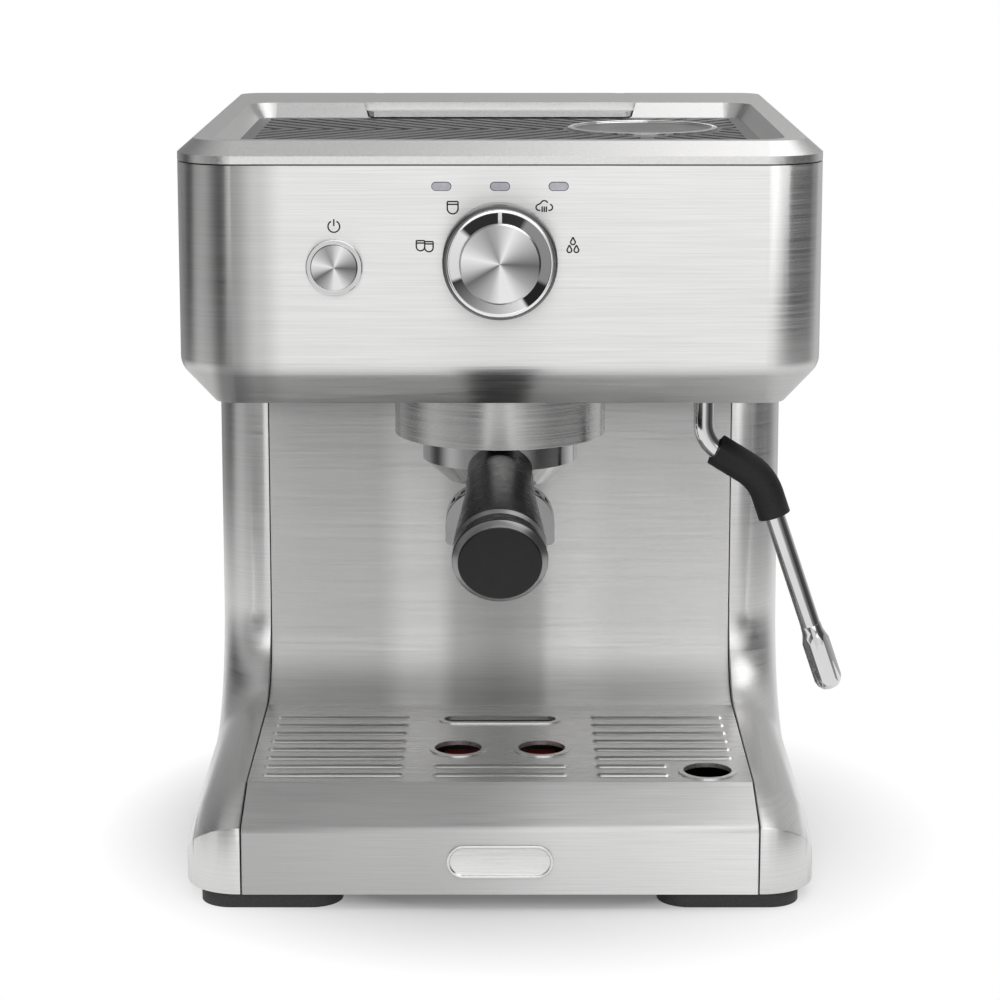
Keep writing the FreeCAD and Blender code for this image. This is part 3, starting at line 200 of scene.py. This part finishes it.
def paintReflectionAndShade(mat, axis, stops):
    # paints reflections and shade into a finish along X or Z, as a grey ramp that darkens its colour:
    # (millimetres from the body's middle or above the table, level)
    parts = placeFrom(mat, place(0, 0, 0))
    share = addNode(mat, "ShaderNodeMapRange")
    share.inputs["From Min"].default_value = stops[0][0] * mm
    share.inputs["From Max"].default_value = stops[-1][0] * mm
    ramp = greyRamp(mat, stops, "EASE")
    deepen = addNode(mat, "ShaderNodeMix", data_type="RGBA", blend_type="MULTIPLY")
    deepen.inputs["Factor"].default_value = 1.0
    color = mat.node_tree.nodes["Principled BSDF"].inputs["Base Color"]
    plain = color.links[0].from_socket
    join(mat, parts.outputs[axis], share.inputs["Value"])
    join(mat, share.outputs["Result"], ramp.inputs["Fac"])
    join(mat, plain, deepen.inputs["A"])
    join(mat, ramp.outputs["Color"], deepen.inputs["B"])
    join(mat, deepen.outputs["Result"], color)


def polished(name, level, rough):
    mat = newMaterial(name, grey(level), 1.0, rough)
    soft = noiseAlong(mat, (60, 60, 60))
    tint(mat, soft, grey(level - 0.04), grey(level))
    vary(mat, soft, rough * 0.8, rough * 1.3, "Roughness")
    return mat


def moulded(name, dark, light, rough, grain=900, bump=0.08):
    mat = newMaterial(name, light, 0.0, rough)
    mat.node_tree.nodes["Principled BSDF"].inputs["Specular IOR Level"].default_value = 0.3
    speck = noiseAlong(mat, (grain, grain, grain), 2.0)
    tint(mat, speck, dark, light)
    vary(mat, speck, rough - 0.05, rough + 0.05, "Roughness")
    roughen(mat, speck, bump, 0.05 * mm)
    return mat


def clear(name, color, rough):
    mat = newMaterial(name, color, 0.0, rough)
    shader = mat.node_tree.nodes["Principled BSDF"]
    shader.inputs["Transmission Weight"].default_value = 0.9
    shader.inputs["IOR"].default_value = 1.4
    soft = noiseAlong(mat, (40, 40, 40))
    vary(mat, soft, rough * 0.7, rough * 1.4, "Roughness")
    return mat


bodyAxis = place(0, 150, 0)
groupAxis = (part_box("group_collar")[0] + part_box("group_collar")[1]) / 2
finish = {
    "body_steel": brushed("body_steel", 0.67, 0.76, (22, 22, 2200), 0.33, 0.09, axis=bodyAxis),
    "splash_steel": brushed("splash_steel", 0.74, 0.84, (22, 1800, 1800), 0.46, 0.06, 0.9),
    "tray_steel": brushed("tray_steel", 0.74, 0.86, (26, 1900, 1900), 0.50, 0.10, 0.9, 0.65),
    "grille_steel": brushed("grille_steel", 0.70, 0.82, (26, 1500, 1500), 0.30, 0.06, 0.6, 0.9),
    "frame_silver": brushed("frame_silver", 0.62, 0.68, (900, 900, 900), 0.34, 0.05),
    "shelf_grey": moulded("shelf_grey", grey(0.16), grey(0.22), 0.45),
    "group_steel": brushed("group_steel", 0.53, 0.57, (20, 20, 1600), 0.24, 0.008, axis=groupAxis),
    "chrome": polished("chrome", 0.70, 0.08),
    "dial_metal": polished("dial_metal", 0.74, 0.20),
    "spun_metal": polished("spun_metal", 0.78, 0.26),
    "badge_metal": brushed("badge_metal", 0.70, 0.80, (40, 1200, 1200), 0.24, 0.05),
    "pointer_white": moulded("pointer_white", grey(0.80), grey(0.88), 0.4),
    "handle_black": moulded("handle_black", grey(0.006), grey(0.009), 0.30, 150, 0.002),
    "grip_black": moulded("grip_black", grey(0.010), grey(0.018), 0.55, 1200, 0.15),
    "foot_black": moulded("foot_black", grey(0.030), grey(0.045), 0.6),
    "float_red": moulded("float_red", (0.14, 0.006, 0.006), (0.20, 0.008, 0.008), 0.4),
    "lens_grey": moulded("lens_grey", (0.50, 0.50, 0.56), (0.60, 0.60, 0.66), 0.25, 400, 0.02),
    "dark_plastic": moulded("dark_plastic", grey(0.025), grey(0.04), 0.5),
    "liner_grey": moulded("liner_grey", grey(0.10), grey(0.14), 0.5),
    "tray_grey": moulded("tray_grey", grey(0.06), grey(0.09), 0.5),
    "tank_clear": clear("tank_clear", (0.80, 0.88, 0.92), 0.06),
    "boiler_metal": polished("boiler_metal", 0.55, 0.35),
    "pump_metal": moulded("pump_metal", grey(0.10), grey(0.16), 0.45),
    "pipe_brass": polished("pipe_brass", 0.55, 0.25),
    "hose_white": moulded("hose_white", grey(0.62), grey(0.70), 0.45),
    "gasket_black": moulded("gasket_black", grey(0.012), grey(0.02), 0.6),
    "screw_steel": polished("screw_steel", 0.55, 0.3),
    "board_green": moulded("board_green", (0.01, 0.10, 0.03), (0.02, 0.16, 0.05), 0.4),
}

# painted reflection: light and dark upright bands across the backsplash
paintReflectionAndShade(finish["splash_steel"], "X", ((-115, 0.76), (-62, 0.78), (-45, 1.0), (-32, 1.0), (-20, 0.74), (0, 0.68),
                                    (18, 0.74), (26, 1.0), (40, 1.0), (60, 0.92), (115, 0.96)))
# painted shade: the backsplash darkens towards its top, under the head
paintReflectionAndShade(finish["splash_steel"], "Z", ((183, 1.0), (192, 0.84), (200, 0.30), (225, 0.20)))
# painted shade: the frame's skirt below the seam is painted near black, standing for the shadow in the gap
paintReflectionAndShade(finish["frame_silver"], "Z", ((328.3, 0.02), (328.6, 1.0)))    # the seam under the frame is dark
# painted reflection: the tray's front darkens towards its left
paintReflectionAndShade(finish["tray_steel"], "X", ((-115, 0.60), (-40, 0.68), (40, 0.92), (115, 1.0)))

for part in frame["record"]["subparts"]:
    cadNode = frame["nodes"][part["node"]]
    cadNode.data.materials.clear()
    cadNode.data.materials.append(finish[part["material_slot"]])

# painted reflection and shade: the head's steel is painted darker at its left corner, for a dark reflection,
# and on the bevel under its crease, for shade
headSteelPaintedShade = brushed("head_steel_painted_shade", 0.67, 0.76, (22, 22, 2200), 0.33, 0.09, axis=bodyAxis)
paintReflectionAndShade(headSteelPaintedShade, "X", ((-140, 1.0), (-126, 0.9), (-120, 0.42), (-114, 0.42), (-104, 0.72), (-92, 1.0),
                       (140, 1.0)))
paintReflectionAndShade(headSteelPaintedShade, "Z", ((222, 0.64), (236, 0.70), (242, 1.0), (330, 1.0)))
frame["nodes"]["head_shell"].data.materials[0] = headSteelPaintedShade
frame["nodes"]["portafilter_spout"].data.materials[0] = polished("spout_chrome", 0.30, 0.18)

print("stage: soft edges on the sheet metal")
edgeWidth = {
    "head_shell": 0.7, "left_side_panel": 0.6, "right_side_panel": 0.6, "tray_front": 0.5,
    "cup_grille": 0.4, "tank_lid": 0.8, "feet": 1.5, "portafilter_spout": 1.0,
    "wand_socket": 0.8, "wand_grip": 1.1, "power_bezel": 0.5, "power_button": 0.4,
}
edge = {"weld": 0.005, "segments": 2, "angle": 40}
for nodeName, width in edgeWidth.items():
    cadNode = frame["nodes"][nodeName]
    weld = cadNode.modifiers.new("Weld", "WELD")
    weld.merge_threshold = edge["weld"] * mm
    soft = cadNode.modifiers.new("SoftEdge", "BEVEL")
    soft.width = width * mm
    soft.segments = edge["segments"]
    soft.limit_method = "ANGLE"
    soft.angle_limit = math.radians(edge["angle"])
    soft.harden_normals = True


print("stage: tools for the new pieces")


def turned(name, rings, sides=96):
    # a round or oval solid about Z, grown from a disc by rings of (height, half width, half depth)
    bpy.ops.object.select_all(action="DESELECT")
    height, wide, deep = rings[0]
    bpy.ops.mesh.primitive_circle_add(vertices=sides, radius=mm, fill_type="NGON", location=(0, 0, 0))
    piece = bpy.context.object
    piece.name = name
    bpy.ops.object.mode_set(mode="EDIT")
    bpy.ops.mesh.select_all(action="SELECT")
    bpy.ops.transform.resize(value=(wide, deep, 1))
    bpy.ops.transform.translate(value=(0, 0, height * mm))
    for nextHeight, nextWide, nextDeep in rings[1:]:
        step = (nextHeight - height) * mm
        bpy.ops.mesh.extrude_region_move(TRANSFORM_OT_translate={"value": (0, 0, step)})
        bpy.ops.transform.resize(value=(nextWide / wide, nextDeep / deep, 1))
        height, wide, deep = nextHeight, nextWide, nextDeep
    bpy.ops.mesh.select_all(action="SELECT")
    bpy.ops.mesh.normals_make_consistent(inside=False)
    bpy.ops.object.mode_set(mode="OBJECT")
    return piece


def roundRings(profile):
    return [(height, radius, radius) for height, radius in profile]


def soften(piece, width, segments=2, angle=30):
    bevel = piece.modifiers.new("Soft", "BEVEL")
    bevel.width = width * mm
    bevel.segments = segments
    bevel.limit_method = "ANGLE"
    bevel.angle_limit = math.radians(angle)
    bpy.ops.object.modifier_apply(modifier=bevel.name)


def settle(piece, where, tilt=(0, 0, 0)):
    # turns a finished piece, puts it in place and leaves its place in the mesh
    piece.rotation_euler = tilt
    piece.location = where
    bpy.ops.object.transform_apply(location=True, rotation=True, scale=True)
    bpy.ops.object.shade_smooth_by_angle(angle=math.radians(32))


def dress(piece, slotName, body, *hidden, mat=None):
    piece.data.materials.append(mat or finish[slotName])
    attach(piece, body)
    if hidden:
        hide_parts(*hidden)


def paintReflectionWedges(name, centre, rough, stops):
    # metal turned on a lathe, with painted reflections: light and dark wedges painted round a centre,
    # (degrees clockwise from the top, level)
    mat = newMaterial(name, grey(0.7), 1.0, rough)
    parts = placeFrom(mat, centre)
    angle = addNode(mat, "ShaderNodeMath", operation="ARCTAN2")
    share = addNode(mat, "ShaderNodeMapRange")
    share.inputs["From Min"].default_value = -math.pi
    share.inputs["From Max"].default_value = math.pi
    ramp = greyRamp(mat, stops, "LINEAR")
    join(mat, parts.outputs["X"], angle.inputs[0])
    join(mat, parts.outputs["Z"], angle.inputs[1])
    join(mat, angle.outputs["Value"], share.inputs["Value"])
    join(mat, share.outputs["Result"], ramp.inputs["Fac"])
    join(mat, ramp.outputs["Color"], mat.node_tree.nodes["Principled BSDF"].inputs["Base Color"])
    return mat


faceOut = (math.radians(90), 0, 0)    # turns a piece made about Z to face the front
headFront = 12.0    # millimetres behind the base's front

print("stage: mode dial")
dial = {"z": 288.0, "skirt": 24.5, "rim": 23.3, "groove": 21.6, "disc": 17.3, "front": 16.3, "bar": 1.7}
dialCentre = place(0, headFront, dial["z"])
# painted reflections: light and dark wedges on the dial's spun face
discPaintedReflection = ((-180, 0.86), (-160, 0.50), (-122, 0.16), (-100, 0.62), (-78, 0.90), (-55, 0.60), (-22, 0.34),
              (-8, 0.44), (22, 0.92), (48, 0.60), (92, 0.15), (128, 0.42), (158, 0.86), (180, 0.86))
spunDialPaintedReflection = paintReflectionWedges("spun_dial_painted_reflection", dialCentre, 0.30, discPaintedReflection)
# painted reflections: light and dark wedges in the dial's groove
groovePaintedReflection = ((-180, 0.55), (-140, 0.22), (-112, 0.04), (-108, 0.75), (-52, 0.85), (-46, 0.03), (0, 0.03),
                (28, 0.04), (34, 0.28), (112, 0.26), (117, 0.02), (146, 0.02), (150, 0.85), (180, 0.55))
grooveMetalPaintedReflection = paintReflectionWedges("groove_metal_painted_reflection", dialCentre, 0.22, groovePaintedReflection)

skirt = turned("dialSkirt", roundRings((
    (-13.7, 3.0), (0.5, 3.0), (0.5, 23.8), (1.4, dial["skirt"]), (13.4, dial["skirt"]), (14.9, 23.7),
    (14.9, 20.0))))
settle(skirt, dialCentre, faceOut)
dress(skirt, "dial_metal", "mode_dial", "dial_body", mat=polished("dial_skirt", 0.16, 0.22))

rim = turned("dialRim", roundRings((
    (14.4, dial["rim"]), (15.2, dial["rim"]), (dial["front"] - 0.2, dial["rim"] - 0.5), (dial["front"], 22.4),
    (dial["front"], dial["groove"] + 0.2), (15.3, dial["groove"]), (15.3, dial["disc"] + 0.2))))
settle(rim, dialCentre, faceOut)
dress(rim, "dial_metal", "mode_dial", mat=polished("dial_rim", 0.86, 0.14))
rim.data.materials.append(grooveMetalPaintedReflection)
for face in rim.data.polygons:
    spot = face.center - dialCentre
    radius = math.hypot(spot.x, spot.z)
    if radius < dial["groove"] * mm and spot.y < -15 * mm:
        face.material_index = 1

disc = turned("dialDisc", roundRings((
    (15.2, dial["disc"]), (17.5, dial["disc"]), (18.2, dial["disc"] - 0.7), (17.9, 8.0), (17.8, 0.3))))
settle(disc, dialCentre, faceOut)
dress(disc, "spun_metal", "mode_dial", "dial_cap", mat=spunDialPaintedReflection)

bpy.ops.object.select_all(action="DESELECT")
bpy.ops.mesh.primitive_cube_add(size=mm)
bar = bpy.context.object
bar.name = "dialPointer"
bpy.ops.transform.resize(value=(dial["bar"], 1.3, dial["groove"] - dial["disc"] + 0.4))
bpy.ops.object.transform_apply(scale=True)
soften(bar, 0.25)
settle(bar, dialCentre + Vector((0, -15.7 * mm, (dial["groove"] + dial["disc"]) / 2 * mm)))
dress(bar, "pointer_white", "mode_dial", "dial_pointer")

print("stage: power button")
button = {"x": -71.0, "z": 284.6}
# painted reflections: the button's face gets the dial's light and dark wedges
spunButtonPaintedReflection = paintReflectionWedges("spun_button_painted_reflection", place(button["x"], headFront, button["z"]), 0.30, discPaintedReflection)
frame["nodes"]["power_button"].data.materials[0] = spunButtonPaintedReflection

print("stage: signs beside the controls")
sign = {"line": 0.32, "flat": 0.15, "lampLine": 0.14}
signInk = moulded("sign_ink", grey(0.015), grey(0.025), 0.5)


def arc(x, z, radius, start, end, steps=20):
    points = []
    for step in range(steps + 1):
        angle = math.radians(start + (end - start) * step / steps)
        points.append((x + radius * math.cos(angle), z + radius * math.sin(angle)))
    return points


def cup(x, z, wide, high):
    half = wide / 2
    top = z + high / 2
    bowl = arc(x, z - high / 2 + half * 0.8, half, 180, 360)
    return [[(x - half, top), (x + half, top)], [(x - half, top)] + bowl + [(x + half, top)],
            [(x - half, top - high * 0.25), (x + half, top - high * 0.25)]]


def drop(x, z, radius):
    return [[(x, z + 2.2 * radius)] + arc(x, z, radius, 30, -210) + [(x, z + 2.2 * radius)]]


def pillLine(x, z, wide, high):
    radius = high / 2
    reach = wide / 2 - radius
    path = arc(x + reach, z, radius, -90, 90) + arc(x - reach, z, radius, 90, 270)
    return [path + path[:1]]


def drawn(name, strokes, line):
    # lines on the head's front: a curve per stroke, made mesh and pressed almost flat
    curve = bpy.data.curves.new(name, "CURVE")
    curve.dimensions = "3D"
    curve.bevel_depth = line * mm
    curve.bevel_resolution = 2
    for stroke in strokes:
        spline = curve.splines.new("POLY")
        spline.points.add(len(stroke) - 1)
        for point, (x, z) in zip(spline.points, stroke):
            point.co = (x * mm, 0, z * mm, 1)
    piece = bpy.data.objects.new(name, curve)
    bpy.context.scene.collection.objects.link(piece)
    bpy.ops.object.select_all(action="DESELECT")
    piece.select_set(True)
    bpy.context.view_layer.objects.active = piece
    bpy.ops.object.convert(target="MESH")
    piece = bpy.context.object
    piece.scale = (1, sign["flat"], 1)
    settle(piece, place(0, headFront, 0))
    dress(piece, "dark_plastic", "chassis", mat=signInk)


powerMark = [arc(button["x"], 302, 2.5, 118, 422), [(button["x"], 302.2), (button["x"], 305.2)]]
cloud = [arc(18.9, 311.6, 1.5, 20, 160) + arc(16.7, 310.2, 1.3, 100, 250) + [(17.2, 308.9)],
         arc(21.1, 310.2, 1.3, 80, -70) + [(20.6, 308.9)]]
steamLines = [[(18.9 + offset, 308.2), (18.9 + offset, 310.6)] for offset in (-0.9, 0.0, 0.9)]
drawn("signPower", powerMark, sign["line"])
drawn("signCup", cup(-20.2, 310.3, 4.6, 4.8), sign["line"])
drawn("signSteam", cloud + steamLines, sign["line"])
drawn("signTwoCups", cup(-34.0, 293.9, 3.6, 4.0) + cup(-30.4, 293.5, 3.6, 4.0), sign["line"])
drawn("signDrops", drop(31.2, 295.2, 1.0) + drop(29.7, 291.8, 1.0) + drop(32.7, 291.8, 1.0), sign["line"])
lamp = {"pitch": 25, "z": 319.2, "wide": 8.3, "high": 3.6}
for step, lampSide in ((-1, "Left"), (0, "Middle"), (1, "Right")):
    lampPill = pillLine(step * lamp["pitch"], lamp["z"], lamp["wide"], lamp["high"])
    drawn("lampLine" + lampSide, lampPill, sign["lampLine"])

print("stage: cup mark on the shelf")
cupMark = {"x": 67.5, "y": 156.0, "z": 331.0, "radius": 35.3, "rim": 3.0, "rise": 1.2}
rimInside = cupMark["radius"] - cupMark["rim"]
dish = turned("cupMarkDish", roundRings((
    (0.1, cupMark["radius"]), (cupMark["rise"] - 0.3, cupMark["radius"]),
    (cupMark["rise"], cupMark["radius"] - 0.5), (cupMark["rise"], rimInside + 0.6),
    (0.4, rimInside), (0.2, rimInside - 2), (0.2, 0.5))))
settle(dish, place(cupMark["x"], cupMark["y"], cupMark["z"]))
dress(dish, "shelf_grey", "chassis", mat=polished("cup_rim", 0.90, 0.14))
dish.data.materials.append(polished("cup_floor", 0.34, 0.35))
for face in dish.data.polygons:
    spot = face.center - place(cupMark["x"], cupMark["y"], 0)
    if math.hypot(spot.x, spot.y) < rimInside * mm:
        face.material_index = 1

print("stage: filter holder's handle")
handle = {"root": place(0, 51, 188), "tip": place(0, -55, 171.5), "cap": 4.0}
handleLine = handle["tip"] - handle["root"]
handleLength = handleLine.length / mm
handleTilt = (math.atan2(-handleLine.y, handleLine.z), 0, 0)
capFront = handleLength + handle["cap"]


def paintHighlightBetween(piece, start, end):
    # painted highlight: gives the faces between two distances along the handle a grey polished metal,
    # standing for the light on the black handle's ridge and bevel
    piece.data.materials.append(highlightGloss)
    along = handleLine.normalized()
    for face in piece.data.polygons:
        reach = (face.center - handle["root"]).dot(along) / mm
        if start < reach < end:
            face.material_index = 1


# shares of the handle's length, half width and half height
gripRings = ((0.0, 14.5, 11.0), (0.12, 14.7, 11.6), (0.35, 15.5, 13.3), (0.55, 17.1, 15.2),
             (0.72, 18.6, 16.9), (0.85, 19.5, 17.9), (0.885, 19.7, 18.1), (0.91, 18.6, 17.0),
             (0.945, 18.5, 16.9), (0.95, 12.0, 11.0))
handleGrip = turned("handleGrip", [(share * handleLength, wide, high) for share, wide, high in gripRings])
soften(handleGrip, 0.4, 3, 20)
settle(handleGrip, handle["root"], handleTilt)
dress(handleGrip, "handle_black", "portafilter", "portafilter_handle")
# painted highlight on the handle's shoulder ridge
highlightGloss = polished("handle_painted_highlight", 0.30, 0.30)
paintHighlightBetween(handleGrip, 0.886 * handleLength, 0.909 * handleLength)
capBack = 0.945 * handleLength
endCap = turned("handleEndCap", (
    (capBack, 18.4, 16.8), (capBack + 0.6, 19.7, 18.1), (capFront - 4.6, 20.0, 18.4),
    (capFront - 3.6, 19.8, 18.2), (capFront - 1.0, 17.4, 15.9), (capFront - 0.7, 16.8, 15.4),
    (capFront - 0.1, 9.0, 8.2), (capFront, 0.4, 0.4)))
soften(endCap, 0.4, 3, 20)
settle(endCap, handle["root"], handleTilt)
dress(endCap, "handle_black", "portafilter", "handle_end_cap")
# painted highlight on the end cap's bevel
paintHighlightBetween(endCap, capFront - 3.5, capFront - 1.1)

print("stage: steam nozzle")
nozzle = {"start": place(144, 82, 107), "knee": place(120, 82, 178), "flat": 5.5, "radius": 6.4}
nozzleLine = nozzle["start"] - nozzle["knee"]
nozzleTilt = (0, math.atan2(nozzleLine.x, nozzleLine.z), 0)
tip = turned("steamTip", roundRings((
    (-1.5, 4.75), (1.5, 4.95), (4.0, 5.6), (6.5, 6.4), (9.0, nozzle["radius"]), (25.0, nozzle["radius"]),
    (27.6, 5.6), (29.4, 4.2), (30.2, 2.4), (30.4, 1.0))), 72)
bpy.ops.object.mode_set(mode="EDIT")
for side in range(6):
    angle = math.radians(60 * side + 90)
    outward = Vector((math.cos(angle), math.sin(angle), 0))
    flat = outward * nozzle["flat"] * mm
    bpy.ops.mesh.select_all(action="SELECT")
    bpy.ops.mesh.bisect(plane_co=flat, plane_no=outward, use_fill=True, clear_outer=True)
bpy.ops.object.mode_set(mode="OBJECT")
soften(tip, 0.25, 2, 18)
settle(tip, nozzle["start"], nozzleTilt)
dress(tip, "chrome", "steam_wand", "wand_nozzle")

print("stage: front badge")
badge = {"long": 47.0, "high": 15.0, "deep": 1.2, "rim": 1.1, "sunk": 0.6, "z": 22.3}
bpy.ops.object.select_all(action="DESELECT")
bpy.ops.mesh.primitive_cylinder_add(vertices=64, radius=badge["high"] / 2 * mm, depth=badge["deep"] * mm)
plate = bpy.context.object
plate.name = "badgePlate"
bpy.ops.object.mode_set(mode="EDIT")
halfStep = math.pi / 64    # so that no point of the rim lies on the middle line
bpy.ops.transform.rotate(value=halfStep, orient_axis="Z", center_override=(0, 0, 0))
for sideways in (-1, 1):
    bpy.ops.mesh.select_mode(type="VERT")
    bpy.ops.mesh.select_all(action="DESELECT")
    bpy.ops.object.mode_set(mode="OBJECT")
    for point in plate.data.vertices:
        point.select = point.co.x * sideways > 0
    bpy.ops.object.mode_set(mode="EDIT")
    bpy.ops.transform.translate(value=(sideways * (badge["long"] - badge["high"]) / 2 * mm, 0, 0))
bpy.ops.mesh.select_mode(type="FACE")
bpy.ops.mesh.select_all(action="DESELECT")
bpy.ops.object.mode_set(mode="OBJECT")
for face in plate.data.polygons:
    face.select = face.normal.z > 0.9
bpy.ops.object.mode_set(mode="EDIT")
bpy.ops.mesh.inset(thickness=badge["rim"] * mm)
bpy.ops.mesh.inset(thickness=0.3 * mm, depth=-badge["sunk"] * mm)
bpy.ops.object.mode_set(mode="OBJECT")
soften(plate, 0.25, 2)
settle(plate, place(0, -badge["deep"] / 2, badge["z"]), faceOut)
dress(plate, "badge_metal", "drip_tray", "front_badge")

print("stage: camera, light and floor")
camera = bpy.data.objects.new("Camera", bpy.data.cameras.new("Camera"))
bpy.context.scene.collection.objects.link(camera)
bpy.context.scene.camera = camera
shot = {"away": 1239, "height": 454, "tilt": 10.3, "lens": 106.0, "shift": -0.1, "sensor": 36}
camera.location = place(0, -shot["away"], shot["height"])
camera.rotation_euler = (math.radians(90 - shot["tilt"]), 0, 0)
camera.data.lens = shot["lens"]
camera.data.shift_y = shot["shift"]
camera.data.sensor_width = shot["sensor"]

world = bpy.data.worlds.new("Studio")
bpy.context.scene.world = world
world.use_nodes = True
background = world.node_tree.nodes["Background"]
coords = addNode(world, "ShaderNodeTexCoord")
axes = addNode(world, "ShaderNodeSeparateXYZ")
forward = addNode(world, "ShaderNodeMath", operation="MULTIPLY")
forward.inputs[1].default_value = -1
turn = addNode(world, "ShaderNodeMath", operation="ARCTAN2")
share = addNode(world, "ShaderNodeMapRange")
share.inputs["From Min"].default_value = -math.pi
share.inputs["From Max"].default_value = math.pi
join(world, coords.outputs["Generated"], axes.inputs[0])
join(world, axes.outputs["Y"], forward.inputs[0])
join(world, axes.outputs["X"], turn.inputs[0])
join(world, forward.outputs[0], turn.inputs[1])
join(world, turn.outputs[0], share.inputs["Value"])

# what the steel mirrors round the room: degrees from the front, to the right positive, and brightness
roomBands = ((-180, 0.38), (-140, 0.30), (-108, 0.06), (-78, 0.50), (-50, 0.30), (-24, 0.10), (-10, 0.90),
             (2, 0.86), (9, 1.00), (20, 0.55), (33, 0.26), (60, 0.06), (92, 0.10), (137, 0.60), (180, 0.38))
bands = greyRamp(world, roomBands, "EASE")
join(world, share.outputs["Result"], bands.inputs["Fac"])

overhead = {"start": 0.6, "full": 0.95, "level": 0.62}
ceiling = addNode(world, "ShaderNodeMapRange")
ceiling.inputs["From Min"].default_value = overhead["start"]
ceiling.inputs["From Max"].default_value = overhead["full"]
lift = addNode(world, "ShaderNodeMix", data_type="RGBA")
lift.inputs["B"].default_value = (*grey(overhead["level"]), 1)
join(world, axes.outputs["Z"], ceiling.inputs["Value"])
join(world, ceiling.outputs["Result"], lift.inputs["Factor"])
join(world, bands.outputs["Color"], lift.inputs["A"])

# the camera itself sees plain white behind the machine
rays = addNode(world, "ShaderNodeLightPath")
seen = addNode(world, "ShaderNodeMix", data_type="RGBA")
seen.inputs["B"].default_value = (*grey(1.0), 1)
join(world, rays.outputs["Is Camera Ray"], seen.inputs["Factor"])
join(world, lift.outputs["Result"], seen.inputs["A"])
join(world, seen.outputs["Result"], background.inputs["Color"])
background.inputs["Strength"].default_value = 1.0


def softLight(name, where, aim, size, power):
    light = bpy.data.objects.new(name, bpy.data.lights.new(name, "AREA"))
    bpy.context.scene.collection.objects.link(light)
    light.data.shape = "RECTANGLE"
    light.data.size, light.data.size_y = size
    light.data.energy = power
    light.location = where
    light.rotation_euler = (Vector(aim) - Vector(where)).to_track_quat("-Z", "Y").to_euler()


middle = (cadLow + cadHigh) / 2
softLight("TopLight", (0.8, -0.15, 1.6), (0.5, 0, 0.3), (1.4, 1.4), 9)
softLight("FrontLight", (0.15, -1.5, 0.95), middle, (2.0, 0.9), 7)

# the floor takes a shadow close to the machine and glows white further out
ground = {"radius": 0.8, "shadowEnd": 0.12, "whiteFrom": 0.20, "nearGlow": 0.15}
bpy.ops.object.select_all(action="DESELECT")
bpy.ops.mesh.primitive_circle_add(vertices=96, radius=ground["radius"], fill_type="NGON", location=(0, 0, 0))
floor = bpy.context.object
floor.name = "Floor"
floorMat = newMaterial("FloorWhite", grey(0.9), 0.0, 0.9)
floorNodes = floorMat.node_tree.nodes
floorCoords = addNode(floorMat, "ShaderNodeTexCoord")
distance = addNode(floorMat, "ShaderNodeVectorMath", operation="LENGTH")
join(floorMat, floorCoords.outputs["Object"], distance.inputs[0])
far = addNode(floorMat, "ShaderNodeMapRange")
far.inputs["From Min"].default_value = ground["shadowEnd"]
far.inputs["From Max"].default_value = ground["whiteFrom"]
far.inputs["To Min"].default_value = ground["nearGlow"]
join(floorMat, distance.outputs["Value"], far.inputs["Value"])
glow = addNode(floorMat, "ShaderNodeEmission")
mixture = addNode(floorMat, "ShaderNodeMixShader")
join(floorMat, far.outputs["Result"], mixture.inputs["Fac"])
join(floorMat, floorNodes["Principled BSDF"].outputs["BSDF"], mixture.inputs[1])
join(floorMat, glow.outputs["Emission"], mixture.inputs[2])
join(floorMat, mixture.outputs["Shader"], floorNodes["Material Output"].inputs["Surface"])
floor.data.materials.append(floorMat)

bpy.context.scene.view_settings.view_transform = "Standard"
